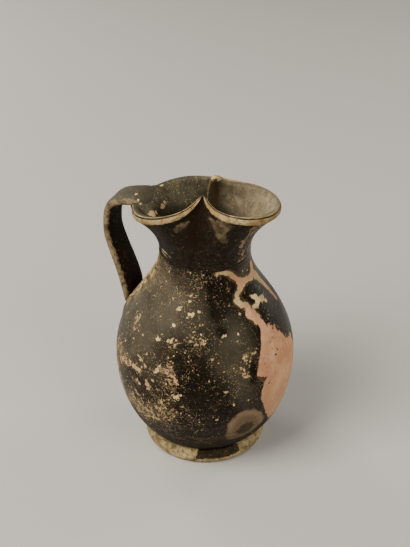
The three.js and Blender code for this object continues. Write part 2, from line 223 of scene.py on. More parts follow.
bodyMarks = {
    "bareField": [(-27.6, 79.5), (-26.2, 76.5), (-21.8, 74.5), (-17.7, 72.1), (-11.6, 69.5), (-6.7, 66.9),
                  (-4.2, 64.6), (-2.4, 61.6), (3, 58.5), (9, 55.0), (15, 49.0), (17, 43), (14, 37), (6, 31),
                  (-4, 25), (-14, 21.5), (-19.5, 21.9), (-27.5, 29.5), (-31.9, 36.5), (-34.3, 40.6),
                  (-34.1, 44.4), (-32.4, 46.8), (-32.9, 49.1), (-36.6, 51.6), (-37.4, 53.2), (-36.5, 54.9),
                  (-35.2, 57.7), (-32.7, 60.8), (-30.2, 63.8), (-26.3, 68.0), (-24.5, 70.5), (-25.9, 72.8),
                  (-28.6, 74.7), (-32.7, 75.6), (-34.0, 77.3), (-31.3, 79.6)],
    "teeth": [(-18.4, 71.9), (-12.2, 69.4), (-7.2, 66.4), (-4.9, 64.1), (-1.9, 61.2), (2.6, 57.9)],
    "line": [(-56.1, 98.1, 1.6), (-50.1, 97.2, 0.9), (-42.5, 95.3, 1.0), (-35.9, 93.2, 1.2),
             (-30.6, 91.0, 1.0), (-26.0, 89.0, 2.0), (-27.2, 87.6, 1.5), (-32.1, 86.5, 1.0),
             (-36.2, 85.1, 1.2), (-37.8, 83.0, 1.3), (-34.8, 81.7, 1.2), (-30.6, 80.8, 1.3),
             (-28.3, 79.0, 1.6), (-28.0, 77.0, 2.0), (-24.4, 74.5, 2.4)],
    "branch": [(-26.0, 89.0, 1.6), (-18.2, 88.9, 1.3), (-8.2, 88.3, 1.3), (1.1, 88.9, 2.2), (5, 92, 1.6)],
    "edgeBranch": [(1.2, 88.9, 2.2), (7.5, 85.8, 1.9), (12, 82.1, 1.5), (16, 77.5, 1.2), (18, 72, 0.9)],
    "cross": [(-20.1, 83.2), (-15.0, 82.4), (-10.6, 81.8), (-9.0, 80.7), (-0.8, 79.3), (-1.6, 78.3),
              (-0.3, 76.7), (-1.2, 75.6), (-4.8, 76.2), (-7.9, 77.6), (-11.7, 78.0), (-14.0, 77.4),
              (-17.2, 77.2), (-20.6, 77.1), (-24.9, 78.7), (-22.0, 79.6), (-16.8, 79.7), (-19.0, 81.0),
              (-20.9, 82.5)],
    "chips": [(-97.9, 81.1, 1.1), (-84.7, 79.9, 1.3), (-86.5, 79.7, 1.0), (-77.6, 81.4, 0.8),
              (-87.6, 84.6, 0.5), (-87.6, 86.9, 0.5), (-117.6, 86.2, 0.5), (-114.0, 76.4, 0.5),
              (-148.9, 73.2, 0.5), (-99.0, 75.0, 1.1), (-45.1, 88.4, 0.6), (-90.4, 100.9, 0.6),
              (-38.8, 78.7, 0.7), (-108.8, 68.5, 1.1), (-56.4, 72.4, 0.9), (-58.2, 72.0, 0.7),
              (-139.8, 58.7, 0.6), (-123.8, 67.1, 0.7), (-66.7, 64.1, 0.7), (-62.8, 62.3, 0.6),
              (-49.5, 72.4, 0.5), (-45.0, 71.7, 0.5), (-59.4, 49.4, 0.9), (-57.6, 49.6, 0.6),
              (-54.0, 42.3, 0.7), (-64.4, 34.9, 0.8), (-112.0, 36.2, 0.7), (-69.3, 55.1, 0.5),
              (-65.8, 55.0, 0.5), (-59.6, 54.5, 0.5), (-40.8, 40.3, 0.5), (-44.0, 42.3, 0.5),
              (-75.5, 33.0, 0.6), (-86.0, 66.7, 0.6), (-7.4, 72.8, 0.4), (-9.5, 72.3, 0.55),
              (-12.2, 71.8, 0.5), (8.7, 55.9, 1.2), (7.4, 57.6, 0.8)],
    "flaked": [(-133.4, 52.2, 3.4, 0.84), (-127.4, 53.2, 3.4, 0.84), (-121.1, 58.1, 3.2, 0.67),
               (-119, 52.8, 3.6, 0.76), (-104.1, 57.3, 2.6, 0.76), (-96.2, 58.5, 3, 0.59),
               (-120.3, 46.6, 3.4, 0.76), (-110.3, 47.2, 3.6, 0.84), (-93, 54.1, 4.2, 0.67),
               (-96.3, 68.9, 4.2, 0.67), (-80, 70.8, 3.4, 0.59), (-75, 70.3, 3.4, 0.59),
               (-89, 47.2, 4, 0.67), (-101.3, 38.4, 5, 0.67), (-92, 38, 4.4, 0.59), (-44.4, 63.2, 4, 0.67),
               (-38.6, 62.9, 3, 0.67), (-45.7, 57.7, 4.2, 0.67), (-43.5, 54, 3.4, 0.67),
               (-136.7, 68.3, 3.4, 0.76), (-139, 72, 3, 0.8), (-150, 66, 5, 0.5), (-126, 36, 8, 0.66),
               (-112, 32, 8, 0.62), (-98, 32, 8, 0.56), (-119, 25, 7, 0.55), (-96, 45, 8, 0.57),
               (-106, 61, 8, 0.3), (-88, 60, 8, 0.25), (172, 48, 8, 0.7), (158, 66, 6, 0.7),
               (-152, 47, 8, 0.8), (-141, 50, 5, 0.7), (-147, 55, 6, 0.7), (-160, 40, 8, 0.7),
               (-146, 36, 8, 0.8), (-140, 29, 8, 0.7), (140, 40, 9, 0.7), (120, 62, 7, 0.6),
               (96, 34, 9, 0.6), (74, 70, 6, 0.6), (60, 46, 7, 0.7), (42, 62, 6, 0.5), (-168, 36, 9, 0.6),
               (150, 26, 9, 0.6)],
    "islands": [(-137.3, 51, 1.2), (-132.5, 51.3, 1.2), (-128.5, 52.9, 0.91), (-123.6, 52.7, 1.2),
                (-120.9, 52.3, 1.2), (-118.6, 52.4, 0.91), (-118.4, 57.7, 0.91), (-119.4, 58.4, 0.65),
                (-114.7, 61, 0.52), (-114, 55.8, 0.65), (-116.5, 54.4, 0.52), (-102.6, 58.6, 0.78),
                (-104.2, 56.7, 1), (-105.5, 55.4, 0.78), (-98.5, 62.9, 0.65), (-96.6, 59.7, 0.52),
                (-95, 59.4, 0.52), (-119.9, 46.9, 0.78), (-117.9, 46.1, 0.78), (-111.9, 49.3, 0.78),
                (-110.6, 48, 1.2), (-110.1, 45.9, 0.91), (-107, 51.1, 0.52), (-97.9, 53.3, 0.65),
                (-95.6, 54.3, 0.52), (-93.9, 52, 0.65), (-90.4, 54.2, 0.65), (-89.3, 52.7, 0.52),
                (-91.4, 55, 0.52), (-96.8, 51.5, 0.59), (-90.9, 46.3, 0.91), (-89.1, 46.2, 1),
                (-86.8, 47.6, 0.65), (-92.3, 47.1, 0.52), (-104.3, 37.2, 0.78), (-101.6, 37.1, 0.91),
                (-98.4, 38.8, 0.65), (-95.8, 41.5, 0.52), (-100.2, 69.2, 0.59), (-98.3, 69, 0.65),
                (-95, 68, 0.78), (-92.5, 68.8, 0.52), (-94.1, 70, 0.46), (-97.2, 70.4, 0.39),
                (-73.1, 70.4, 0.65), (-72, 70.6, 0.52), (-44.5, 62.7, 0.91), (-42.6, 63.5, 0.52),
                (-37.7, 62.9, 0.52), (-35.3, 63, 0.39), (-40.3, 60.8, 0.46), (-47.5, 61.5, 0.46),
                (-48.1, 59.2, 0.46), (-45.9, 57.7, 0.46), (-44, 54.5, 0.59), (-45.2, 56, 0.46),
                (-42.1, 53.8, 0.46), (-47.7, 56.1, 0.39), (-40.9, 50.8, 0.39), (-42, 58.8, 0.39),
                (-82.2, 37.4, 0.52), (-123.4, 67.1, 0.52), (-141.1, 48.6, 0.52), (-139, 48, 0.59)],
    "rust": [(-126.5, 40.3, 0.65), (-129.9, 39.2, 0.52), (-121.9, 40.7, 0.59), (-125.7, 37.5, 0.52),
             (-119.4, 39.4, 0.59), (-117, 37.9, 0.52), (-124.9, 35.4, 0.52), (-114, 40.7, 0.52),
             (-122.3, 34, 0.46), (-118.8, 33.9, 0.46), (-81.3, 72, 0.46), (-79.3, 69.5, 0.46),
             (-76.4, 71.9, 0.39), (-75.2, 69.9, 0.39), (-83.2, 70.4, 0.39), (-135.3, 71.9, 0.52),
             (-135.9, 69.9, 0.65), (-136.3, 68.2, 0.59), (-131.4, 68.7, 0.52), (-131.8, 67.7, 0.39),
             (-134.5, 65.9, 0.39), (-135.4, 73.1, 0.33), (-110.7, 38.7, 0.46), (-108.5, 32.8, 0.46),
             (-104, 32.5, 0.46), (-94.6, 33.5, 0.46), (-90.3, 37.8, 0.46), (-86.5, 41.7, 0.46),
             (-114.8, 32.1, 0.46), (-101, 31.7, 0.39)],
    "finger": [(-55, 18.6), (-57.4, 21), (-57.2, 24), (-56.8, 30.8), (-53.9, 34.4), (-50.3, 36.6),
               (-45.5, 37.1), (-38.0, 35.3), (-32.3, 31.9), (-28.2, 27.0), (-27, 22.6), (-34, 19.8),
               (-42, 18.2), (-49, 17.8)],
    "fingerDark": [(-50.3, 24.2), (-47.5, 27.2), (-43.8, 28.9), (-39.0, 27.6), (-36.0, 24.3), (-38.0, 21.8),
                   (-42.2, 20.4), (-47.6, 21.2)],
    "spots": [(-20.4, 60.6, 0.5), (-15.7, 59.9, 0.4), (-15.2, 58.9, 0.35), (-18.7, 57.6, 0.6),
              (-27.6, 47.1, 0.6), (-6, 38, 0.3), (2, 50, 0.3)],
    "smudge": [(-36.9, 52.9), (-28.8, 50.5), (-30.9, 49.2), (-32.4, 46.8), (-35.2, 44.0), (-37.7, 48.4)],
    "pools": [(-38.9, 57.0, 1.6), (-39.3, 54.5, 1.6), (-39.9, 52.0, 1.6), (2, 76, 9), (-6, 68, 5),
              (-6.1, 80, 6), (-60.7, 93, 2.6), (-60.3, 86, 2.8), (-59.4, 80, 2.6), (-58.2, 74, 2.2),
              (-60, 38, 4), (-63, 29, 5), (-77, 41, 9, 0.35), (-74, 48, 7, 0.35), (14, 70, 8),
              (22, 78, 8)],
    # painted sheen: the next list lays a soft olive veil where the key light's sheen falls, most on the
    # belly's upper left
    "dullAndSheen": [(-134, 74, 12, 1.0), (-122, 72, 10, 1.0), (-146, 78, 12, 0.9), (-132, 64, 9, 0.8),
             (-140, 60, 9, 0.7), (-47.8, 50.2, 6, 0.7), (-54, 60, 8, 0.5), (-100, 82, 12, 0.55),
             (-128, 84, 9, 0.9), (160, 76, 12, 0.9), (120, 78, 12, 0.8), (80, 60, 12, 0.7),
             (-19, 93, 4, 0.8), (-160, 55, 12, 0.6), (-150, 44, 8, 0.7), (-45, 42, 7, 0.35),
             (-80, 76, 10, 0.35), (-62, 66, 7, 0.3), (40, 50, 12, 0.6), (-108, 56, 9, 0.4),
             (-47, 73, 7, 0.55), (-43, 66, 7, 0.5)],
    "wornShoulder": [(-166, 93, 5.5), (-166, 87, 6), (-169, 80, 5.5), (-173, 74, 5), (-176, 68, 4)],
    "mottled": [(-121.7, 92.6, 7), (-107.1, 91.5, 7), (-134, 90, 6), (-96, 95, 6), (-112, 86, 8),
                (-90, 88, 6)],
}


def unrolled(angle, level, middle, outline, lengths):
    # lays the wall out flat about one angle, so that distances on it are true nearby
    turn = (angle - middle + 180) % 360 - 180
    radius = np.interp(level, outline[:, 1], outline[:, 0])
    along = np.interp(level, outline[:, 1], lengths)
    return np.stack([np.radians(turn) * radius, along], axis=-1)


def distanceToLine(points, corners, closed):
    corners = np.asarray(corners, float)
    ends = np.roll(corners, -1, axis=0) if closed else corners[1:]
    starts = corners if closed else corners[:-1]
    nearest = np.full(len(points), 1e9)
    share = np.zeros(len(points))
    for k in range(len(ends)):
        edge = ends[k, :2] - starts[k, :2]
        t = np.clip(((points - starts[k, :2]) @ edge) / max(edge @ edge, 1e-9), 0, 1)
        gap = np.linalg.norm(points - starts[k, :2] - t[:, None] * edge, axis=1)
        closer = gap < nearest
        nearest[closer] = gap[closer]
        share[closer] = (k + t)[closer]
    return nearest, share


def insideOutline(points, corners):
    corners = np.asarray(corners, float)
    inside = np.zeros(len(points), bool)
    for k in range(len(corners)):
        (x1, y1), (x2, y2) = corners[k], corners[(k + 1) % len(corners)]
        if y1 == y2:
            continue
        crosses = (points[:, 1] > min(y1, y2)) & (points[:, 1] <= max(y1, y2))
        at = x1 + (points[:, 1] - y1) * (x2 - x1) / (y2 - y1)
        inside ^= crosses & (points[:, 0] < at)
    return inside


def markBody(piece, outer):
    points = verticesOf(piece)
    outline = outlineByHeight()
    lengths = np.concatenate([[0], np.cumsum(np.linalg.norm(np.diff(outline, axis=0), axis=1))])
    angle = np.degrees(np.arctan2(points[:, 1], points[:, 0]))
    level = points[:, 2]
    far = 30.0

    def laidOut(middle):
        return unrolled(angle, level, middle, outline, lengths)

    def flat(marks, middle):
        marks = np.asarray(marks, float)
        return unrolled(marks[:, 0], marks[:, 1], middle, outline, lengths)

    def outlineDistance(marks, middle):
        here, corners = laidOut(middle), flat(marks, middle)
        gap, _ = distanceToLine(here, corners, True)
        return np.clip(np.where(insideOutline(here, corners), -gap, gap), -far, far)

    def bandDistance(marks, middle):
        gap, share = distanceToLine(laidOut(middle), flat(marks, middle), False)
        widths = np.asarray(marks, float)[:, 2]
        return np.clip(gap - np.interp(share, np.arange(len(widths)), widths), -far, far)

    def fromSpot(turn, high):
        return np.linalg.norm(laidOut(turn) - flat([(turn, high)], turn), axis=1)

    def spotDistance(marks):
        distances = [fromSpot(turn, high) - size for turn, high, size in marks]
        return np.minimum(np.minimum.reduce(distances), far)

    def softField(marks):
        total = np.zeros(len(points))
        for turn, high, size, *strength in marks:
            total = total + np.exp(-(fromSpot(turn, high) / size) ** 2) * (strength[0] if strength else 1)
        return np.clip(total, 0, 1)

    m = bodyMarks
    field = outlineDistance(m["bareField"], -15)
    for a, b in zip(m["teeth"][:-1], m["teeth"][1:]):
        a, b = np.array(a), np.array(b)
        for share, length in ((0.15, 2.3), (0.5, 1.2), (0.8, 2.9)):
            root = a + (b - a) * share
            tooth = [(root[0], root[1] + 0.6, 0.55), (root[0] + 1.0, root[1] - length, 0.12)]
            field = np.maximum(field, -bandDistance(tooth, -8))
    line = np.minimum(bandDistance(m["line"], -35), bandDistance(m["branch"], -15))
    distances = {
        "bareField": field,
        "creamLine": np.minimum(line, bandDistance(m["edgeBranch"], 5)),
        "chips": np.minimum(outlineDistance(m["cross"], -12), spotDistance(m["chips"])),
        "islands": spotDistance(m["islands"]),
        "rust": spotDistance(m["rust"]),
        "finger": outlineDistance(m["finger"], -43),
        "fingerDark": outlineDistance(m["fingerDark"], -43),
        "darkSpots": np.minimum(spotDistance(m["spots"]), outlineDistance(m["smudge"], -33) + 0.1),
    }
    for name, distance in distances.items():
        record(piece, name, np.where(outer > 0, distance, far))
    for name in ("flaked", "pools", "dullAndSheen", "wornShoulder", "mottled"):
        record(piece, name, outer * softField(m[name]))
    record(piece, "outside", outer)


# Ring foot

ringFoot = {
    "radius": 26.8, "height": 7.0, "seat": 24.9, "bore": 19.6, "boreFlare": 1.2, "resting": 3.2,
    "edgeRound": 1.9, "around": 420, "step": 0.4, "nickWaves": (9, 21), "nickDepth": 0.55,
    "rubWaves": (34, 5), "rubDepth": 0.07,
    # where the black is kept: angles and widths in degrees
    "blackFrom": (-89, -82), "blackTo": (-52, -24), "blackLeft": (-100, 10), "blackFar": (60, 40),
    "blackBack": (150, 34),
}


def makeFoot():
    f = ringFoot
    inner = f["bore"] + f["boreFlare"]
    toe = cubic((inner + f["resting"], 0), (f["radius"] - 0.4, 0), (f["radius"] + 0.85, f["edgeRound"]),
                (f["radius"], f["height"] * 0.62), 40)
    top = cubic(toe[-1], (f["radius"] - 0.15, f["height"] * 0.8), (f["radius"] - 0.5, f["height"] - 0.45),
                (f["seat"] + 0.3, f["height"] - 0.05), 20)
    profile = np.concatenate([
        [(f["bore"], f["height"]), (f["bore"] + 0.1, f["height"] * 0.5), (inner - 0.4, 0.6), (inner, 0.0)],
        toe, top[1:], [(f["seat"] - 0.6, f["height"])]])
    profile = respaced(profile, f["step"])
    piece = gridMesh("ring_foot", turnedPoints(profile, f["around"])[::-1][:, ::-1], closedRows=True)
    points = verticesOf(piece)
    radius = np.hypot(points[:, 0], points[:, 1])
    edge = smooth(radius, 24.5, 26) * smooth(points[:, 2], 0.3, 1.2)
    nicks = np.clip(waves(points, *f["nickWaves"]) - 0.95, 0, 1) * f["nickDepth"]
    push = -edge * (nicks + (waves(points, *f["rubWaves"]) + 1) * f["rubDepth"])
    points[:, :2] *= (1 + push / radius)[:, None]
    moveVertices(piece, points)
    angle = np.degrees(np.arctan2(points[:, 1], points[:, 0]))
    outwards = smooth(radius, 20.5, 22)
    front = smooth(angle - points[:, 2], *f["blackFrom"]) * (1 - smooth(angle, *f["blackTo"]))
    record(piece, "blackFront", front * outwards)
    kept = 0.3 * nearAngle(angle, *f["blackLeft"]) + 0.9 * nearAngle(angle, *f["blackFar"])
    kept += 0.7 * nearAngle(angle, *f["blackBack"])
    record(piece, "glossKept", np.clip(kept, 0, 1) * outwards)
    return piece


# Ring of slip at the throat

throatSlip = {
    "radius": 19.68, "level": 97.75, "halfHeight": 1.25, "depth": 1.5, "inwards": 3.6, "around": 480,
    "leftArc": 0.2, "rubbedLeft": (-128, 18), "rubbedFar": (100, 40),
}


def makeThroatSlip():
    s = throatSlip
    turn = np.linspace(-math.pi / 2, math.pi / 2, 15)
    ridge = np.stack([s["radius"] - s["depth"] * 0.42 * (1 - np.cos(turn)),
                      s["level"] + s["halfHeight"] * np.sin(turn)], axis=1)
    inner = s["radius"] - s["inwards"]
    profile = np.concatenate([ridge, [(inner, s["level"] + s["halfHeight"] - 0.4),
                                      (inner, s["level"] - s["halfHeight"] + 0.4)]])
    piece = gridMesh("throat_slip", turnedPoints(profile, s["around"]), closedRows=True)
    points = verticesOf(piece)
    angle = np.degrees(np.arctan2(points[:, 1], points[:, 0]))
    radius = np.hypot(points[:, 0], points[:, 1])
    near = nearAngle(angle, *s["rubbedLeft"])
    push = (waves(points, 16, 12) - 1) * 0.06 + near * s["leftArc"]
    points[:, :2] *= (1 + push / radius)[:, None]
    moveVertices(piece, points)
    record(piece, "rubbed", np.clip(near + 0.4 * nearAngle(angle, *s["rubbedFar"]), 0, 1))
    record(piece, "ridge", np.clip((radius - 19.2) / 0.45, 0, 1))
    return piece


# Neck and pinched mouth

mouth = {
    "neckWall": 3.0, "lipThickness": 3.9, "pinchedLip": 2.35, "lipLevel": 119.5, "lipSlope": 0.125,
    "droop": 2.75, "droopReach": 30.0, "spoutReach": 30.5, "spoutHalfWidth": 14.0, "rearReach": 29.3,
    "rearHalfWidth": 18.0, "pinchForward": 1.8, "pinchHalfGap": 8.9, "pinchFold": 2.1, "pinchRise": 7.2,
    "pinchRiseReach": 4.4, "pinchSharpness": 1.6, "throatStretch": 0.36, "flareRun": 0.62, "flareHeight": 0.3,
    "footRadius": 18.0, "footLevel": 98.4, "around": 760, "rows": 64, "lipRows": 26, "grooveDepth": 0.3,
    "foldStep": 0.19, "grooveInwards": 0.17, "grooveWidth": 0.3, "beadInwards": 0.5, "beadHeight": 0.1,
    "wearDepth": 0.5, "wearWidth": 2.2, "rippleDepth": 0.014, "ripplePace": 1.9,
}


def lobe(cosine, sine, reach, halfWidth, crossing):
    shift = math.sqrt(1 - (crossing / halfWidth) ** 2)
    halfLength = reach / (1 + shift)
    middle = shift * halfLength
    a = (cosine / halfLength) ** 2 + (sine / halfWidth) ** 2
    b = middle * cosine / halfLength ** 2
    c = (middle / halfLength) ** 2 - 1
    return (b + np.sqrt(b * b - a * c)) / a


def pinchAt(x):
    return 1 / (1 + (np.abs(x - mouth["pinchForward"]) / mouth["pinchRiseReach"]) ** mouth["pinchSharpness"])


def lipPoints(angle):
    m = mouth
    cosine, sine = np.cos(angle), np.sin(angle)
    crossing = m["pinchHalfGap"] - m["pinchFold"] / 2
    spout = lobe(cosine, sine, m["spoutReach"] - m["pinchForward"], m["spoutHalfWidth"], crossing)
    rear = lobe(-cosine, sine, m["rearReach"] + m["pinchForward"], m["rearHalfWidth"], crossing)
    distance = (spout + rear + np.hypot(spout - rear, m["pinchFold"])) / 2
    x = m["pinchForward"] + distance * cosine
    level = m["lipLevel"] + m["lipSlope"] * x - m["droop"] * (x / m["droopReach"]) ** 2
    return np.stack([x, distance * sine, level + m["pinchRise"] * pinchAt(x)], axis=1)


def lipAngles():  # angles that put the lip's points at even steps, on its inside and outside together
    fine = np.linspace(0, 2 * math.pi, 4001)
    line = lipPoints(fine)
    along = unit(np.gradient(line, axis=0)[:, :2])
    inside = line[:, :2] + np.stack([-along[:, 1], along[:, 0]], axis=1) * mouth["lipThickness"]
    step = np.linalg.norm(np.diff(line, axis=0), axis=1) + np.linalg.norm(np.diff(inside, axis=0), axis=1)
    length = np.concatenate([[0], np.cumsum(step)])
    wanted = np.arange(mouth["around"]) * length[-1] / mouth["around"]
    return np.interp(wanted, length, fine)


def neckMiddle(angle, v):
    m = mouth
    lip = lipPoints(angle)
    rise = lip[:, 2:] - m["footLevel"]
    foot = np.stack([np.cos(angle) * m["footRadius"], np.sin(angle) * m["footRadius"],
                     np.full(len(angle), m["footLevel"])], axis=1)
    above = foot + rise * m["throatStretch"] * np.array([0, 0, 1])
    under = lip + (foot - lip) * m["flareRun"]
    under[:, 2:] = lip[:, 2:] - rise * m["flareHeight"]
    t = v[:, None, None]
    return (1 - t) ** 3 * foot + 3 * (1 - t) ** 2 * t * above + 3 * (1 - t) * t * t * under + t ** 3 * lip


# Strap handle

strap = {
    "turn": -7.0, "reach": 44.4, "reachLevel": 98.5, "rootLevel": 59.5, "rootSink": 2.6, "tongue": 7.2,
    "tongueDrop": 6.8, "crest": 0.4, "topWidth": 15.5, "midWidth": 13.0, "rootWidth": 16.0, "thickness": 4.4,
    "tongueThickness": 1.4, "rootThickness": 2.6, "tongueEndWidth": 8.5, "tongueEndThickness": 1.2,
    "tongueEndLength": 0.045, "pressed": 0.16, "crownRun": 11.5, "crownFall": 0.6,
    "upperBend": 14.5, "lowerBend": 8.0, "rootApproach": 16.0, "squareness": 0.72, "along": 300, "around": 96,
    "backHollow": 0.35, "backHollowWidth": 3.5, "nickDepth": 0.4,
    "smearHeight": 2.2, "smearWidth": 9.4, "smearLength": 17.0, "jointReach": 2.6,
}


def shoulderRadius(level):
    outline = bodyOutline(jugBody["outlineStep"])
    upper = outline[outline[:, 1] >= jugBody["bellyLevel"]]
    return float(np.interp(level, upper[:, 1], upper[:, 0]))


def handleLine():
    s = strap
    lipTop = lipPoints(np.array([math.pi]))[0, 2] + mouth["lipThickness"] / 2
    tongue = (mouth["rearReach"] - s["tongue"], lipTop - s["tongueDrop"])
    crest = (mouth["rearReach"], lipTop + s["crest"])
    furthest = (s["reach"], s["reachLevel"])
    root = (shoulderRadius(s["rootLevel"]) - s["rootSink"], s["rootLevel"])
    line = np.concatenate([
        cubic(tongue, (tongue[0] + 3.0, tongue[1] + 3.6), (crest[0] - 3.2, crest[1] + 0.4), crest, 200),
        cubic(crest, (crest[0] + s["crownRun"], crest[1] - s["crownFall"] * s["crownRun"] / 2.75),
              (furthest[0], furthest[1] + s["upperBend"]), furthest, 200)[1:],
        cubic(furthest, (furthest[0], furthest[1] - s["lowerBend"]), (root[0], root[1] + s["rootApproach"]),
              root, 200)[1:]])
    return respaced(line, np.linalg.norm(np.diff(line, axis=0), axis=1).sum() / s["along"])


def strapSizes(t):  # half the strap's width and half its thickness along it
    s = strap
    width = np.where(t < 0.5, s["topWidth"] + (s["midWidth"] - s["topWidth"]) * smooth(t, 0, 0.5),
                     s["midWidth"] + (s["rootWidth"] - s["midWidth"]) * smooth(t, 0.5, 1))
    pressed = s["tongueThickness"] + (s["thickness"] - s["tongueThickness"]) * smooth(t, 0, s["pressed"])
    flattened = s["thickness"] + (s["rootThickness"] - s["thickness"]) * smooth(t, 1 - s["pressed"], 1)
    thick = np.where(t < 0.5, pressed, flattened)
    roundness = np.sqrt(np.clip(1 - np.clip(1 - t / s["tongueEndLength"], 0, 1) ** 2, 0, 1))
    width = s["tongueEndWidth"] + (width - s["tongueEndWidth"]) * roundness
    thick = s["tongueEndThickness"] + (thick - s["tongueEndThickness"]) * roundness
    return width / 2, thick / 2


def besideStrap(points):  # distance out along the strap's own plane, and distance to one side of it
    a = math.radians(strap["turn"])
    out = -(points[..., 0] * math.cos(a) + points[..., 1] * math.sin(a))
    return out, points[..., 1] * math.cos(a) - points[..., 0] * math.sin(a)


def strapDistance(points):  # distance from the strap's faces, below zero inside it
    line = handleLine()
    halfWidth, halfThick = strapSizes(np.linspace(0, 1, len(line)))
    out, aside = besideStrap(points)
    gap = (out[:, None] - line[None, :, 0]) ** 2 + (points[:, 2][:, None] - line[None, :, 1]) ** 2
    nearest = gap.argmin(axis=1)
    deep = np.sqrt(gap[np.arange(len(points)), nearest]) - halfThick[nearest]
    wide = np.abs(aside) - halfWidth[nearest]
    return np.minimum(np.maximum(deep, wide), 0) + np.hypot(np.maximum(deep, 0), np.maximum(wide, 0))


def smearOnLip(points, across):  # clay of the handle's end, smeared over the lip and down inside the rear lobe
    s = strap
    out, aside = besideStrap(points)
    behind = smooth(out, 8, 14)
    beside = 1 - smooth(np.abs(aside), s["smearWidth"] - 4.2, s["smearWidth"] + 3.0 * smooth(-across, 2, 10))
    down = smooth(across, -s["smearLength"], -7) * (1 - smooth(across, -1, 4.5))
    flatter = 1 - 0.3 * smooth(across, -5.5, -2)
    return s["smearHeight"] * behind * beside * down * flatter


# Marks on the neck and on the handle's top, as (x, y, z, half width) in millimetres from the jug's axis

neckMarks = {
    "creamSpots": [(-22.6, -6.0, 113.0, 0.8), (-22.3, -4.0, 111.9, 1.8), (-21.5, -1.4, 111.2, 0.8),
                   (-20.9, 5.0, 111.4, 1.2), (-20.6, 6.4, 111.9, 0.8), (-23.7, 12.4, 116.9, 0.7),
                   (0.0, 9.4, 126.1, 1.3), (1.7, 8.3, 127.7, 1.4), (3.3, 8.8, 127.0, 1.2)],
    "handleSpots": [(-28.5, -3.4, 117.2, 0.6), (-27.2, -4.2, 116.4, 0.5), (-30.8, 0.4, 117.8, 0.4),
                    (-31.4, -1.6, 117.9, 0.4)],
    "streakLeft": [(-6.6, -17.9, 115.0, 1.0), (-5.2, -17.5, 116.2, 1.5), (-3.5, -16.9, 117.2, 1.2),
                   (-2.1, -16.1, 118.5, 0.6)],
    "streakRight": [(7.3, -14.7, 121.1, 0.8), (8.8, -15.4, 119.4, 1.4), (10.7, -15.7, 117.1, 1.7),
                    (11.9, -15.6, 114.4, 1.9), (13.4, -15.0, 112.0, 1.4)],
    "streakUpper": [(11.0, -15.6, 119.9, 1.6), (14.8, -15.6, 119.7, 1.5), (13.0, -15.6, 117.0, 1.6)],
    "fold": [(1.2, 9.4, 123.5, 1.6), (0.4, 11.0, 120.7, 2.0), (0.2, 12.6, 117.0, 1.9),
             (-0.4, 14.1, 113.3, 1.6), (-1.2, 15.2, 109.1, 0.8)],
    "arcs": [[(-16.1, -11.6, 101.9, 0.1), (-13.9, -13.9, 101.7, 0.24), (-11.5, -15.8, 101.4, 0.2),
              (-9.3, -17.2, 100.6, 0.05)], [(-17.3, -10.2, 100.6, 0.05), (-15.0, -12.9, 100.4, 0.2),
                                            (-12.6, -15.2, 99.9, 0.22), (-10.4, -16.8, 99.2, 0.05)]],
    "foldEdge": [(-1.0, 10.6, 124.2, 0.5), (-2.4, 12.5, 120.1, 0.5), (-3.3, 13.8, 115.9, 0.35),
                 (-3.6, 14.4, 112.5, 0.15)],
}


def nearPath(points, path):  # distance from a path of marks, below zero on it
    path = np.asarray(path, float)
    nearest = np.full(len(points), 30.0)
    for start, end in zip(path[:-1], path[1:]):
        edge = end[:3] - start[:3]
        t = np.clip((points - start[:3]) @ edge / (edge @ edge), 0, 1)
        gap = np.linalg.norm(points - start[:3] - t[:, None] * edge, axis=1)
        nearest = np.minimum(nearest, gap - start[3] - (end[3] - start[3]) * t)
    return nearest


def nearSpots(points, spots):
    spots = np.asarray(spots, float)
    return np.minimum.reduce([np.linalg.norm(points - spot[:3], axis=1) - spot[3] for spot in spots])


def markNeck(piece, outer):
    points = verticesOf(piece)
    n = neckMarks
    far = 30.0
    streaks = [nearPath(points, n[name]) for name in ("streakLeft", "streakRight", "streakUpper")]
    record(piece, "streaks", np.where(outer > 0.5, np.minimum.reduce(streaks), far))
    for name in ("fold", "foldEdge"):
        record(piece, name, np.where(outer < 0.5, nearPath(points, n[name]), far))
    record(piece, "creamSpots", nearSpots(points, n["creamSpots"]))
    record(piece, "arcs", np.minimum.reduce([nearPath(points, arc) for arc in n["arcs"]]))
    turn = np.degrees(np.arctan2(points[:, 1], points[:, 0]))
    record(piece, "pinkSide", outer * smooth(turn, -38, -24) * (1 - smooth(turn, 20, 50)))


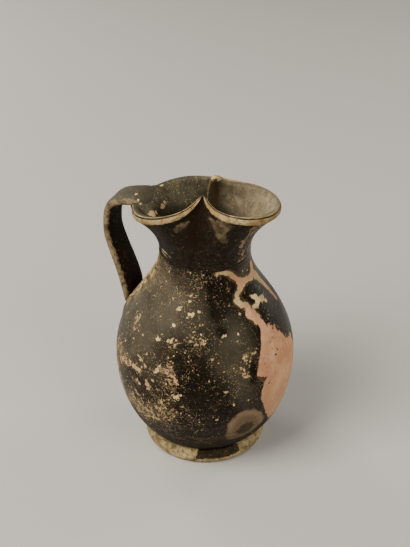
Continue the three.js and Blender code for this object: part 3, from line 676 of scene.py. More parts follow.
def makeNeck():
    m = mouth
    angle = lipAngles()
    share = 1 - (1 - np.linspace(0, 1, m["rows"])) ** 1.25  # closer together towards the lip
    middle = neckMiddle(angle, share)
    above, below = np.minimum(share + 0.002, 1), np.maximum(share - 0.002, 0)
    up = unit(neckMiddle(angle, above) - neckMiddle(angle, below))
    pinch = pinchAt(lipPoints(angle)[:, 0])
    # the wall keeps its thickness round the folds, where its outer faces close into a crease
    turn = 0.01 + m["foldStep"] * smooth(pinch, 0.3, 0.75)
    side = neckMiddle(angle + turn, share) - neckMiddle(angle - turn, share)
    out = unit(np.cross(side, up))
    thickness = m["lipThickness"] + (m["pinchedLip"] - m["lipThickness"]) * pinch
    half = (m["neckWall"] + (thickness[None] - m["neckWall"]) * share[:, None] ** 4) / 2
    turn = (np.arange(1, m["lipRows"]) / m["lipRows"])[:, None, None] * math.pi
    roll = middle[-1] + (out[-1] * np.cos(turn) + up[-1] * np.sin(turn)) * half[-1][:, None]
    points = np.concatenate([middle + out * half[:, :, None], roll, (middle - out * half[:, :, None])[::-1]])
    # distance over the lip from its crest, positive on the outside
    rows = len(points)
    crest = m["rows"] + (m["lipRows"] - 1) / 2 - 0.5
    step = np.linalg.norm(np.diff(points, axis=0), axis=2)
    length = np.concatenate([np.zeros((1, len(angle))), np.cumsum(step, axis=0)])
    low = int(math.floor(crest))
    middleLength = (length[low] + length[low + 1]) / 2 if crest > low else length[low]
    across = middleLength[None] - length
    # a shallow groove runs just inside the crest, and the roll is worn uneven
    flatPoints = points.reshape(-1, 3)

    def uneven(size, seed):
        return waves(flatPoints, size, seed).reshape(rows, -1)

    wander = uneven(14, 30) * 0.16
    groove = np.exp(-((across - m["grooveInwards"] + wander) / m["grooveWidth"]) ** 2) * m["grooveDepth"]
    bead = np.exp(-((across + m["beadInwards"] + wander) / m["grooveWidth"]) ** 2) * m["beadHeight"]
    worn = np.clip(uneven(7, 31) - 0.7, 0, 1) * m["wearDepth"] * np.exp(-(across / m["wearWidth"]) ** 2)
    normal = unit(np.cross(np.roll(points, -1, axis=1) - np.roll(points, 1, axis=1),
                           np.gradient(points, axis=0)))
    level = points[:, :, 2]
    ripple = np.sin(level * m["ripplePace"] + uneven(40, 33)) * m["rippleDepth"] * smooth(level, 99.5, 104)
    points = points + normal * (bead - groove - worn + ripple)[:, :, None]
    smear = smearOnLip(points, across)
    piece = gridMesh("neck_and_lip", points + normal * smear[:, :, None], closedRows=True)
    outer = np.zeros((rows, len(angle)))
    outer[:m["rows"]] = 1
    outer[m["rows"]:m["rows"] + m["lipRows"] - 1] = np.linspace(1, 0, m["lipRows"] - 1)[:, None]
    record(piece, "across", across)
    record(piece, "outside", outer)
    record(piece, "pinched", np.repeat(pinch[None], rows, axis=0))
    smeared = np.clip(smear / 0.9, 0, 1).ravel()
    record(piece, "smeared", smeared)
    markNeck(piece, outer.ravel())
    return piece, smeared


def makeHandle():
    s = strap
    line = handleLine()
    t = np.linspace(0, 1, len(line))
    along = unit(np.gradient(line, axis=0))
    halfWidth, halfThick = strapSizes(t)
    turn = np.arange(s["around"]) * 2 * math.pi / s["around"]

    def squared(value):
        return np.sign(value) * np.abs(value) ** s["squareness"]

    across = squared(np.cos(turn))[None] * halfWidth[:, None]
    depth = squared(np.sin(turn))[None] * halfThick[:, None]
    # the middle of the strap's back is a little hollow, as a pulled strap is
    hollow = s["backHollow"] * (1 - np.abs(np.cos(turn)) ** 2)[None]
    hollow = hollow * (smooth(t, 0.1, 0.3) * (1 - smooth(t, 0.8, 0.95)))[:, None]
    hollow = hollow * np.exp(-(across / s["backHollowWidth"]) ** 2)
    depth = np.where(np.sin(turn)[None] > 0, depth - hollow, depth)
    x = -(line[:, :1] - along[:, 1:] * depth)
    z = line[:, 1:] + along[:, :1] * depth
    a = math.radians(s["turn"])
    cosine, sine = math.cos(a), math.sin(a)
    points = np.stack([x * cosine + across * sine, x * sine - across * cosine, z], axis=2)
    piece = gridMesh("strap_handle", points[:, ::-1], capStart=True, capEnd=True)
    flatPoints = verticesOf(piece)
    push = (waves(flatPoints, 22, 41) - 1.1) * 0.1
    nicks = np.clip(waves(flatPoints, 6, 44) - 0.95, 0, 1) * s["nickDepth"]

    def sameRound(values):  # the same values round the strap at each step along it
        return np.repeat(values[::-1][None], len(line), axis=0).ravel()

    edgeness = sameRound(np.abs(np.cos(turn)))
    evenEnd = np.repeat(1 - smooth(t, 0.955, 0.985), s["around"])
    push = evenEnd * (push - nicks * smooth(edgeness, 0.75, 1))
    moveVertices(piece, flatPoints + normalsOf(piece) * push[:, None])
    record(piece, "edge", edgeness)
    record(piece, "nearEdge", sameRound(-np.cos(turn)))
    record(piece, "innerFace", sameRound(-np.sin(turn)))
    record(piece, "creamSpots", nearSpots(verticesOf(piece), neckMarks["handleSpots"]))
    return piece


# The slip worked into a joint: each face swells where it meets the other piece

def joined(gap, reach):  # how far a face swells at this distance from the piece that it meets
    return np.where(gap < reach, (reach - np.maximum(gap, -0.2)) ** 2 / (4 * reach), 0)


def swellBesideStrap(piece, share, low, high):
    points = verticesOf(piece)
    near = (share > 0) & (points[:, 2] > low) & (points[:, 2] < high) & (points[:, 0] < -10)
    push = np.zeros(len(points))
    push[near] = joined(strapDistance(points[near]), strap["jointReach"]) * share[near]
    moveVertices(piece, points + normalsOf(piece) * push[:, None])


def swellBesideShoulder(piece):
    points = verticesOf(piece)
    outline = outlineByHeight()
    radius = np.hypot(points[:, 0], points[:, 1])
    gap = (radius - np.interp(points[:, 2], outline[:, 1], outline[:, 0])) * 0.85
    push = np.where(points[:, 2] < 90, joined(gap, strap["jointReach"]), 0) * smooth(gap, -1.7, -0.6)
    moveVertices(piece, points + normalsOf(piece) * push[:, None])


print("shapes: body")
body, bodyOuter = makeBody()
print("shapes: ring foot")
foot = makeFoot()
print("shapes: throat slip")
slipRing = makeThroatSlip()
print("shapes: neck and pinched mouth")
neck, neckSmear = makeNeck()
print("shapes: strap handle")
handle = makeHandle()

print("joints: handle worked onto the lip and the shoulder")
swellBesideStrap(neck, 1 - neckSmear, 106, 118)
swellBesideStrap(body, bodyOuter, 48, 90)
swellBesideShoulder(handle)
markBody(body, bodyOuter)


# Materials: nodes are placed with one helper

def place(tree, kind, inputs=None, **settings):
    node = tree.nodes.new(kind)
    for name, value in settings.items():
        setattr(node, name, value)
    for name, value in (inputs or {}).items():
        socket = node.inputs[name]
        if isinstance(value, bpy.types.NodeSocket):
            tree.links.new(value, socket)
        else:
            socket.default_value = value
    return node


def reading(tree, name):  # a value kept on the mesh
    return place(tree, "ShaderNodeAttribute", attribute_name=name).outputs["Fac"]


def maths(tree, a, b, operation="ADD", clamp=False):
    return place(tree, "ShaderNodeMath", {0: a, 1: b}, operation=operation, use_clamp=clamp).outputs[0]


def minus(tree, a, b, clamp=False):
    return maths(tree, a, b, "SUBTRACT", clamp)


def chained(tree, operation, values):
    result = values[0]
    for value in values[1:]:
        result = maths(tree, result, value, operation)
    return result


def times(tree, *values):
    return chained(tree, "MULTIPLY", values)


def highest(tree, *values):
    return chained(tree, "MAXIMUM", values)


def withShares(tree, base, *parts):  # a base and shares of other values, as (value, share)
    for value, share in parts:
        base = maths(tree, base, times(tree, value, share))
    return base


def ramp(tree, value, low, high, first=0.0, last=1.0, kind="SMOOTHSTEP"):
    span = {"Value": value, "From Min": low, "From Max": high, "To Min": first, "To Max": last}
    return place(tree, "ShaderNodeMapRange", span, interpolation_type=kind).outputs["Result"]


def colour(r, g, b):
    return (r, g, b, 1.0)


def over(tree, factor, below, above):  # puts one colour over another
    node = place(tree, "ShaderNodeMix", {0: factor, 6: below, 7: above}, data_type="RGBA", clamp_factor=True)
    return node.outputs[2]


def overValue(tree, factor, below, above):
    node = place(tree, "ShaderNodeMix", {0: factor, 2: below, 3: above}, data_type="FLOAT", clamp_factor=True)
    return node.outputs[0]


def coat(tree, skin, tint, *shares):  # lays a colour over the skin, as thick as the shares multiplied
    return over(tree, times(tree, *shares), skin, tint)


def vectorMaths(tree, operation, inputs):
    return place(tree, "ShaderNodeVectorMath", inputs, operation=operation).outputs[0]


def newGroup(name, inputs, outputs):
    tree = bpy.data.node_groups.new(name, "ShaderNodeTree")
    for label, kind, value in inputs:
        socket = tree.interface.new_socket(name=label, in_out="INPUT", socket_type=kind)
        socket.default_value = value
    for label, kind in outputs:
        tree.interface.new_socket(name=label, in_out="OUTPUT", socket_type=kind)
    return tree, tree.nodes.new("NodeGroupInput").outputs, tree.nodes.new("NodeGroupOutput").inputs


def useGroup(tree, group, inputs):
    return place(tree, "ShaderNodeGroup", inputs, node_tree=group).outputs


real, tint = "NodeSocketFloat", "NodeSocketColor"


def objectPlace(tree):
    return place(tree, "ShaderNodeTexCoord").outputs["Object"]


def stretched(tree, where, scale, rotation=(0.0, 0.0, 0.0)):
    return place(tree, "ShaderNodeMapping", {"Vector": where, "Scale": scale, "Rotation": rotation}).outputs[0]


def noise(tree, where, scale, detail=3.0, roughness=0.55, distortion=0.0):
    return place(tree, "ShaderNodeTexNoise", {
        "Vector": where, "Scale": scale, "Detail": detail, "Roughness": roughness,
        "Distortion": distortion}).outputs[0]


def swing(tree, where, size, *look):  # noise to both sides of zero
    return times(tree, minus(tree, noise(tree, where, *look), 0.5), size)


def makeFlecks():  # small losses in the gloss, more of them where Amount is higher
    tree, given, result = newGroup(
        "flecks", [("Amount", real, 0.3), ("Scale", real, 800.0), ("Softness", real, 0.03)], [("Mask", real)])
    where, scale = objectPlace(tree), given["Scale"]
    fine = noise(tree, where, scale, 3.0, 0.58, 1.1)
    patch = noise(tree, where, times(tree, scale, 0.27), 3.0, 0.6, 0.6)
    mixed = maths(tree, times(tree, fine, 0.6), times(tree, patch, 0.4))
    line = ramp(tree, given["Amount"], 0.0, 1.0, 0.72, 0.42)
    shade = ramp(tree, mixed, line, maths(tree, line, given["Softness"]), kind="LINEAR")
    eaten = ramp(tree, noise(tree, where, times(tree, scale, 1.9), 2.0, 0.6, 0.5), 0.4, 0.46)
    tree.links.new(maths(tree, shade, eaten, "MULTIPLY", True), result["Mask"])
    return tree


def makeDots():  # pinholes in the gloss; Amount is the share of the cells that hold one
    tree, given, result = newGroup(
        "dots", [("Amount", real, 0.3), ("Scale", real, 900.0), ("Size", real, 0.45)], [("Mask", real)])
    where = objectPlace(tree)
    bend = place(tree, "ShaderNodeTexNoise",
                 {"Vector": where, "Scale": 1400.0, "Detail": 3.0}).outputs["Color"]
    bend = vectorMaths(tree, "ADD", {0: bend, 1: (-0.5, -0.5, -0.5)})
    bend = vectorMaths(tree, "SCALE", {0: bend, "Scale": 0.0016})
    bent = vectorMaths(tree, "ADD", {0: where, 1: bend})
    cells = place(tree, "ShaderNodeTexVoronoi", {"Vector": bent, "Scale": given["Scale"]}).outputs
    chance = place(tree, "ShaderNodeSeparateColor", {0: cells["Color"]}).outputs
    size = times(tree, given["Size"], ramp(tree, chance[1], 0.0, 1.0, 0.45, 1.2))
    dot = ramp(tree, cells["Distance"], times(tree, size, 0.7), size, 1.0, 0.0)
    gathered = ramp(tree, noise(tree, where, 170.0, 3.0, 0.6), 0.38, 0.62, 0.35, 1.65)
    held = maths(tree, chance[0], times(tree, given["Amount"], gathered), "LESS_THAN")
    tree.links.new(maths(tree, dot, held, "MULTIPLY", True), result["Mask"])
    return tree


def makeCrackle():  # worm-like lines where the film has lifted
    tree, given, result = newGroup(
        "crackle", [("Amount", real, 0.3), ("Scale", real, 600.0)], [("Mask", real)])
    where, amount = objectPlace(tree), given["Amount"]
    wander = noise(tree, where, given["Scale"], 3.0, 0.6, 1.6)
    ridge = maths(tree, minus(tree, wander, 0.5), 0.0, "ABSOLUTE")
    broken = noise(tree, where, times(tree, given["Scale"], 0.6), 2.0, 0.5, 0.0)
    thin = ramp(tree, ridge, 0.0, times(tree, amount, 0.05), 1.0, 0.0)
    gate = ramp(tree, broken, ramp(tree, amount, 0.0, 1.0, 0.7, 0.36), 0.72)
    tree.links.new(maths(tree, thin, gate, "MULTIPLY", True), result["Mask"])
    return tree


def makeRaggedEdge():  # turns a distance in millimetres into an area with a broken edge
    tree, given, result = newGroup(
        "ragged edge", [("Distance", real, 1.0), ("Raggedness", real, 0.5), ("Scale", real, 400.0),
                        ("Softness", real, 0.12)], [("Mask", real)])
    reach = times(tree, given["Raggedness"], 4.0)
    shake = swing(tree, objectPlace(tree), reach, given["Scale"], 4.0, 0.6)
    moved = maths(tree, given["Distance"], shake)
    low = minus(tree, 0.0, given["Softness"])
    tree.links.new(ramp(tree, moved, low, given["Softness"], 1.0, 0.0), result["Mask"])
    return tree


def makeFiredClay():  # bare clay with its grain, pores and stains
    tree, given, result = newGroup(
        "fired clay", [("Light", tint, colour(0.5, 0.35, 0.2)), ("Dark", tint, colour(0.3, 0.2, 0.1)),
                       ("Stain", tint, colour(0.12, 0.08, 0.05)), ("Staining", real, 0.3)],
        [("Color", tint), ("Height", real)])
    where = objectPlace(tree)
    cloud = noise(tree, where, 120.0, 4.0, 0.6)
    grain = noise(tree, where, 1500.0, 3.0, 0.7)
    mixed = over(tree, ramp(tree, cloud, 0.36, 0.66), given["Dark"], given["Light"])
    mixed = over(tree, ramp(tree, grain, 0.3, 0.42, 0.35, 0.0), mixed, given["Stain"])
    blotches = noise(tree, where, 430.0, 6.0, 0.72, 0.6)
    mixed = coat(tree, mixed, given["Stain"], ramp(tree, blotches, 0.47, 0.64), given["Staining"])
    tree.links.new(mixed, result["Color"])
    tree.links.new(grain, result["Height"])
    return tree


def makeGlossFilm():  # the black slip, from deep black to a thin olive film; the broad olive veil is painted sheen, the fine olive specks and mottling are the slip's own
    tree, given, result = newGroup(
        "gloss film", [("Deep", tint, colour(0.01, 0.009, 0.007)), ("Brown", tint, colour(0.04, 0.025, 0.012)),
                       ("DullAndSheen", tint, colour(0.1, 0.09, 0.06)), ("SheenAmount", real, 0.3),
                       ("Browning", real, 0.3)],
        [("Color", tint), ("Roughness", real), ("Height", real)])
    where = objectPlace(tree)
    cloud = noise(tree, where, 75.0, 4.0, 0.62, 0.3)
    mottle = noise(tree, where, 420.0, 5.0, 0.7, 0.5)
    dusty = noise(tree, where, 2400.0, 2.0, 0.6)
    mixed = coat(tree, given["Deep"], given["Brown"], ramp(tree, mottle, 0.4, 0.62), given["Browning"])
    veil = maths(tree, times(tree, ramp(tree, cloud, 0.3, 0.7, 0.5, 1.0), given["SheenAmount"]),
                 times(tree, ramp(tree, mottle, 0.5, 0.75), 0.1), "ADD", True)
    mixed = over(tree, veil, mixed, given["DullAndSheen"])
    mixed = over(tree, ramp(tree, dusty, 0.6, 0.75, 0.0, 0.22), mixed, given["DullAndSheen"])
    rough = overValue(tree, veil, ramp(tree, cloud, 0.3, 0.7, 0.34, 0.46), 0.56)
    tree.links.new(mixed, result["Color"])
    tree.links.new(rough, result["Roughness"])
    tree.links.new(mottle, result["Height"])
    return tree


print("materials: shared effects")
flecks = makeFlecks()
dots = makeDots()
crackle = makeCrackle()
raggedEdge = makeRaggedEdge()
firedClay = makeFiredClay()
glossFilm = makeGlossFilm()

# Colours that more than one piece shares, and the sheen of the black
gloss = {
    # the dull olive colour serves the film's fine specks and mottling and also its painted sheen
    "deep": (0.0032, 0.0024, 0.0014), "brown": (0.021, 0.012, 0.0048), "dullAndSheen": (0.094, 0.081, 0.055),
    "cream": (0.92, 0.71, 0.33), "creamDark": (0.46, 0.335, 0.18), "orange": (0.44, 0.23, 0.1),
    "paleClay": (0.74, 0.395, 0.215), "pinkClay": (0.6, 0.295, 0.155), "tan": (0.12, 0.075, 0.036),
    "worn": (0.215, 0.135, 0.07), "stain": (0.045, 0.026, 0.013),
    "sheen": 0.13, "sheenTint": (1.0, 0.92, 0.76), "refraction": 1.5,
}


def newMaterial(name):
    material = bpy.data.materials.new(name)
    material.use_nodes = True
    tree = material.node_tree
    tree.nodes.clear()
    shader = place(tree, "ShaderNodeBsdfPrincipled")
    output = place(tree, "ShaderNodeOutputMaterial")
    tree.links.new(shader.outputs[0], output.inputs[0])
    return material, tree, shader


def tintOf(name):
    return colour(*gloss[name])


def coloursOf(finish):
    return {name: colour(*value) for name, value in finish["colours"].items()}


def finishWith(tree, shader, base, rough, height, depth, strength=0.8):
    tree.links.new(base, shader.inputs["Base Color"])
    tree.links.new(rough, shader.inputs["Roughness"])
    bump = place(tree, "ShaderNodeBump", {"Strength": strength, "Distance": depth / 1000, "Height": height})
    tree.links.new(bump.outputs[0], shader.inputs["Normal"])
    shader.inputs["IOR"].default_value = gloss["refraction"]
    shader.inputs["Specular IOR Level"].default_value = gloss["sheen"]
    shader.inputs["Specular Tint"].default_value = tintOf("sheenTint")


# the olive colour and its amount lay the film's painted sheen
def filmWith(tree, dullAndSheen, sheenAmount, browning):
    return useGroup(tree, glossFilm, {
        "Deep": tintOf("deep"), "Brown": tintOf("brown"), "DullAndSheen": dullAndSheen, "Browning": browning,
        "SheenAmount": sheenAmount})


def clayWith(tree, light, dark, stain, staining):
    return useGroup(tree, firedClay, {"Light": light, "Dark": dark, "Stain": stain, "Staining": staining})


def paleGround(tree, stain, staining):
    return clayWith(tree, tintOf("cream"), tintOf("creamDark"), stain, staining)


def flecked(tree, amount, scale, softness):
    return useGroup(tree, flecks, {"Amount": amount, "Scale": scale, "Softness": softness})["Mask"]


def dotted(tree, amount, scale, size):
    return useGroup(tree, dots, {"Amount": amount, "Scale": scale, "Size": size})["Mask"]


def crackled(tree, amount, scale):
    return useGroup(tree, crackle, {"Amount": amount, "Scale": scale})["Mask"]


def edged(tree, finish, name):  # the marked area of this name, with its broken edge
    raggedness, scale, softness, *wider = finish["edges"][name]
    distance = reading(tree, name)
    if wider:
        distance = maths(tree, distance, wider[0])
    return useGroup(tree, raggedEdge, {
        "Distance": distance, "Raggedness": raggedness, "Scale": scale, "Softness": softness})["Mask"]


bodyFinish = {
    "bumpDepth": 0.16,
    # broken edges of the marked areas: raggedness, scale, softness and in some a shift in millimetres
    "edges": {
        "rust": (0.95, 760.0, 0.2), "islands": (1.15, 900.0, 0.09, 0.1), "chips": (1.0, 800.0, 0.08, 0.27),
        "finger": (0.4, 220.0, 0.7), "fingerDark": (0.7, 300.0, 0.8), "bareField": (0.45, 420.0, 0.16),
        "creamLine": (0.85, 520.0, 0.18), "darkSpots": (0.6, 600.0, 0.2),
    },
    # scale, then the softness of flecks or the size of dots
    "effects": {
        "halo": (700.0, 0.09), "worms": (480.0,), "flakes": (700.0, 0.015), "fineDots": (1900.0, 0.46),
        "coarseDots": (900.0, 0.4), "shoulder": (420.0, 0.15), "finger": (420.0, 0.1),
    },
    # how thickly each layer lies over the ones before it
    "strength": {
        "halo": 0.85, "worms": 0.9, "fineDots": 0.75, "rust": 0.8, "lost": 0.92, "fingerFlecks": 0.7,
        "fingerStreaks": 0.6, "fingerMiddle": 0.72, "winding": 0.92, "scratches": 0.65, "fieldDots": 0.7,
        "darkSpots": 0.9,
    },
    # heights in metres between which something comes or goes
    "levels": {
        "nearFoot": (0.012, 0.034), "deepBlack": (0.011, 0.022), "fingerRim": (0.018, 0.03),
        "lowerField": (0.03, 0.052), "creamFrom": (0.0785, 0.082), "creamTo": (0.0862, 0.0885),
        "creamAgain": (0.0935, 0.0955),
    },
    # places from side to side, in metres, between which something comes or goes
    "sideways": {"streaks": (-0.012, 0.004), "deepBlack": (-0.018, -0.004), "finger": (0.015, 0.027)},
    "colours": {
        "turned": (0.1, 0.06, 0.03), "fingerBrown": (0.085, 0.052, 0.026), "fingerTan": (0.17, 0.112, 0.062),
        "fingerRim": (0.27, 0.185, 0.108), "fingerFlecks": (0.045, 0.028, 0.014),
        "fingerStreaks": (0.05, 0.032, 0.017), "fingerMiddle": (0.014, 0.01, 0.006),
        "fieldRed": (0.5, 0.262, 0.145), "fieldPale": (0.84, 0.48, 0.28), "fieldLow": (0.47, 0.29, 0.17),
        "scratches": (0.8, 0.5, 0.3),
    },
    "roughness": {"bare": 0.82, "finger": 0.55, "nearFoot": 0.78, "inside": 0.85},
}


def bodyMaterial():
    material, tree, shader = newMaterial("worn black gloss on the body")
    own = coloursOf(bodyFinish)
    effects, strength, levels, sides, roughness = (
        bodyFinish[name] for name in ("effects", "strength", "levels", "sideways", "roughness"))
    outside, flaking, pools, mottling, dullAndSheen = (
        reading(tree, name) for name in ("outside", "flaked", "pools", "mottled", "dullAndSheen"))
    worn, stain, creamDark = tintOf("worn"), tintOf("stain"), tintOf("creamDark")
    where = objectPlace(tree)
    axes = place(tree, "ShaderNodeSeparateXYZ", {0: where}).outputs
    aside, level = axes["X"], axes["Z"]
    nearFoot = ramp(tree, level, *levels["nearFoot"], 1.0, 0.0)
    # painted sheen: the film's olive veil follows the sheen marks, thinner in the pools
    sheenAmount = minus(tree, times(tree, dullAndSheen, 0.95), times(tree, pools, 0.9), True)
    film = filmWith(tree, tintOf("dullAndSheen"), sheenAmount, withShares(tree, 0.4, (nearFoot, 0.2)))
    clay = clayWith(tree, tintOf("paleClay"), tintOf("pinkClay"), worn, 0.18)
    cream = paleGround(tree, tintOf("orange"), 0.35)["Color"]
    # thin places between the losses let the brown ground through
    kept = minus(tree, 1.0, pools, True)
    thick = minus(tree, 1.0, times(tree, pools, 0.6), True)
    thin = times(tree, withShares(tree, 0.26, (flaking, 0.3), (mottling, 0.25)), kept)
    halo = flecked(tree, thin, *effects["halo"])
    skin = coat(tree, film["Color"], worn, halo, strength["halo"])
    worms = crackled(tree, times(tree, withShares(tree, 0.08, (flaking, 0.7)), kept), *effects["worms"])
    skin = coat(tree, skin, over(tree, flaking, worn, cream), worms, strength["worms"])
    # islands of the pale ground where the film has flaked, and pinholes all over
    flakes = flecked(tree, times(tree, withShares(tree, 0.1, (flaking, 0.5)), kept), *effects["flakes"])
    amount = withShares(tree, 0.36, (dullAndSheen, -0.06), (flaking, 0.3), (mottling, 0.5))
    fine = dotted(tree, times(tree, amount, thick), *effects["fineDots"])
    coarse = dotted(tree, times(tree, withShares(tree, 0.035, (flaking, 0.1)), kept), *effects["coarseDots"])
    dotColour = over(tree, ramp(tree, noise(tree, where, 90.0, 3.0), 0.42, 0.6), worn, creamDark)
    skin = coat(tree, skin, dotColour, fine, strength["fineDots"])
    rusty = over(tree, 0.4, creamDark, tintOf("orange"))
    skin = coat(tree, skin, rusty, edged(tree, bodyFinish, "rust"), strength["rust"])
    lost = highest(tree, flakes, coarse, edged(tree, bodyFinish, "islands"))
    warm = over(tree, 0.55, tintOf("paleClay"), creamDark)
    flakedColour = over(tree, ramp(tree, noise(tree, where, 130.0, 3.0), 0.42, 0.6), warm, cream)
    skin = coat(tree, skin, flakedColour, lost, strength["lost"])
    # the film rubbed off the shoulder's edge below the handle
    rubbed = times(tree, reading(tree, "wornShoulder"), flecked(tree, 0.95, *effects["shoulder"]))
    skin = over(tree, rubbed, skin, over(tree, 0.7, tintOf("paleClay"), tintOf("cream")))
    # brown streaks from turning, next to the foot, and deep black there on the right
    streaky = stretched(tree, where, (0.25, 0.25, 2.2))
    streaks = times(tree, ramp(tree, noise(tree, streaky, 420.0, 4.0, 0.62), 0.44, 0.6), nearFoot)
    paler = overValue(tree, ramp(tree, aside, *sides["streaks"]), 0.75, 0.3)
    skin = coat(tree, skin, own["turned"], streaks, paler)
    skin = coat(tree, skin, tintOf("deep"), ramp(tree, level, *levels["deepBlack"], 0.7, 0.0),
                ramp(tree, aside, *sides["deepBlack"]))
    # tan thumb mark beside the foot: pale at its rim, brown inside, with a dark middle
    mark = edged(tree, bodyFinish, "finger")
    rim = times(tree, ramp(tree, reading(tree, "finger"), -4.2, -1.4), ramp(tree, level, *levels["fingerRim"]))
    sideways = ramp(tree, aside, *sides["finger"])
    tan = over(tree, sideways, own["fingerBrown"], own["fingerTan"])
    tan = coat(tree, tan, own["fingerRim"], rim, overValue(tree, sideways, 0.3, 1.0))
    brownFlecks = flecked(tree, 0.62, *effects["finger"])
    tan = coat(tree, tan, own["fingerFlecks"], brownFlecks, strength["fingerFlecks"])
    tan = coat(tree, tan, own["fingerStreaks"], streaks, strength["fingerStreaks"])
    skin = coat(tree, skin, tan, mark, overValue(tree, sideways, 0.7, 0.94))
    middle = edged(tree, bodyFinish, "fingerDark")
    skin = coat(tree, skin, own["fingerMiddle"], middle, strength["fingerMiddle"])
    # the winding line: a brown halo, then clay or cream by its height
    fromLine = reading(tree, "creamLine")
    winding = edged(tree, bodyFinish, "creamLine")
    creamy = times(tree, ramp(tree, level, *levels["creamFrom"]),
                   ramp(tree, level, *levels["creamTo"], 1.0, 0.0))
    creamy = highest(tree, creamy, ramp(tree, level, *levels["creamAgain"]))
    creamy = maths(tree, creamy, swing(tree, where, 2.0, 110.0, 3.0), "ADD", True)
    lineColour = over(tree, creamy, over(tree, 0.2, clay["Color"], creamDark),
                      over(tree, 0.15, cream, creamDark))
    skin = over(tree, ramp(tree, fromLine, 0.1, 1.5, 0.38, 0.0), skin, worn)
    skin = coat(tree, skin, lineColour, winding, strength["winding"])
    skin = coat(tree, skin, tintOf("orange"), ramp(tree, fromLine, -0.5, -1.3), 0.1)
    # bare clay where the gloss never took
    field = edged(tree, bodyFinish, "bareField")
    shades = noise(tree, where, 55.0, 5.0, 0.7, 0.4)
    slanted = stretched(tree, where, (1.0, 1.0, 0.16), (0.0, 0.5, 0.3))
    scratches = ramp(tree, noise(tree, slanted, 900.0, 3.0, 0.6), 0.6, 0.68)
    ground = over(tree, ramp(tree, shades, 0.5, 0.68, 0.0, 0.75), clay["Color"], own["fieldRed"])
    ground = over(tree, ramp(tree, shades, 0.34, 0.47, 0.75, 0.0), ground, own["fieldPale"])
    ground = over(tree, ramp(tree, level, *levels["lowerField"], 0.55, 0.0), ground, own["fieldLow"])
    ground = coat(tree, ground, own["scratches"], scratches, strength["scratches"])
    skin = over(tree, field, skin, ground)
    skin = coat(tree, skin, stain, field, dotted(tree, 0.06, *effects["coarseDots"]), strength["fieldDots"])
    skin = coat(tree, skin, stain, edged(tree, bodyFinish, "darkSpots"), field, strength["darkSpots"])
    # larger chips down to the pale ground
    chipped = edged(tree, bodyFinish, "chips")
    skin = over(tree, chipped, skin, cream)
    brownClay = over(tree, 0.5, tintOf("pinkClay"), tintOf("tan"))
    skin = over(tree, outside, clayWith(tree, brownClay, tintOf("tan"), stain, 0.4)["Color"], skin)
    bare = highest(tree, field, winding, chipped, rubbed, lost, halo)
    rough = overValue(tree, bare, film["Roughness"], roughness["bare"])
    rough = overValue(tree, times(tree, mark, 0.7), rough, roughness["finger"])
    rough = overValue(tree, times(tree, nearFoot, 0.8), rough, roughness["nearFoot"])
    rough = overValue(tree, outside, roughness["inside"], rough)
    relief = withShares(tree, times(tree, film["Height"], 0.3), (clay["Height"], 0.3),
                        (highest(tree, field, winding), -0.8), (lost, -0.6), (chipped, 0.9))
    finishWith(tree, shader, skin, rough, relief, bodyFinish["bumpDepth"])
    return material


neckFinish = {
    "bumpDepth": 0.15,
    "edges": {
        "streaks": (0.9, 420.0, 0.6), "arcs": (0.2, 600.0, 0.16), "fold": (0.5, 400.0, 0.6),
        "foldEdge": (0.35, 500.0, 0.25), "creamSpots": (0.75, 700.0, 0.2),
    },
    "effects": {
        "veins": (260.0,), "halo": (800.0, 0.09), "fineDots": (1650.0, 0.44), "faint": (1100.0, 0.05),
        "threads": (420.0,), "patches": (420.0, 0.05), "lipKept": (480.0, 0.06), "lipSpecks": (1300.0, 0.45),
    },
    "strength": {
        "grime": 0.75, "veins": 0.55, "halo": 0.5, "faint": 0.7, "threads": 0.55, "fineDots": 0.5,
        "patches": 0.75, "pinchShade": 0.9, "streaks": 0.7, "arcs": 0.65, "fold": 0.8, "foldEdge": 0.7,
        "darkLine": 0.9, "creamSpots": 0.85,
    },
    "levels": {"lit": (0.102, 0.115), "pinchShade": (0.104, 0.113)},
    "colours": {
        "lipCream": (0.5, 0.395, 0.2), "lipDark": (0.33, 0.215, 0.088), "lipStain": (0.16, 0.085, 0.033),
        # painted light inside the mouth: the olives of the rear and spout lobes and the spout's paler grime
        # and halo are lit copies
        "rearPaintedLight": (0.135, 0.118, 0.074), "spoutPaintedLight": (0.4, 0.33, 0.21), "rearGrimeDim": (0.022, 0.022, 0.015),
        "spoutGrimeLit": (0.1, 0.078, 0.045), "spoutHaloLit": (0.42, 0.34, 0.2), "faint": (0.036, 0.021, 0.01),
        "threads": (0.075, 0.045, 0.022), "patches": (0.44, 0.295, 0.185), "pinchShade": (0.009, 0.0038, 0.0013),
        "streaks": (0.19, 0.135, 0.075), "fold": (0.062, 0.035, 0.016), "foldEdge": (0.3, 0.2, 0.09),
        "darkLine": (0.02, 0.014, 0.008),
    },
    "roughness": {"bare": 0.78, "pinchShade": 0.95},
    # from the lip's crest in millimetres, inwards below zero: where each line comes and where it goes
    "lip": {
        "wear": (0.42, 0.7), "wearOutside": 3.3, "bright": ((-0.8, -0.62), (-0.3, -0.15)),
        "dark": ((-0.25, -0.1), (0.35, 0.55)),
    },
}


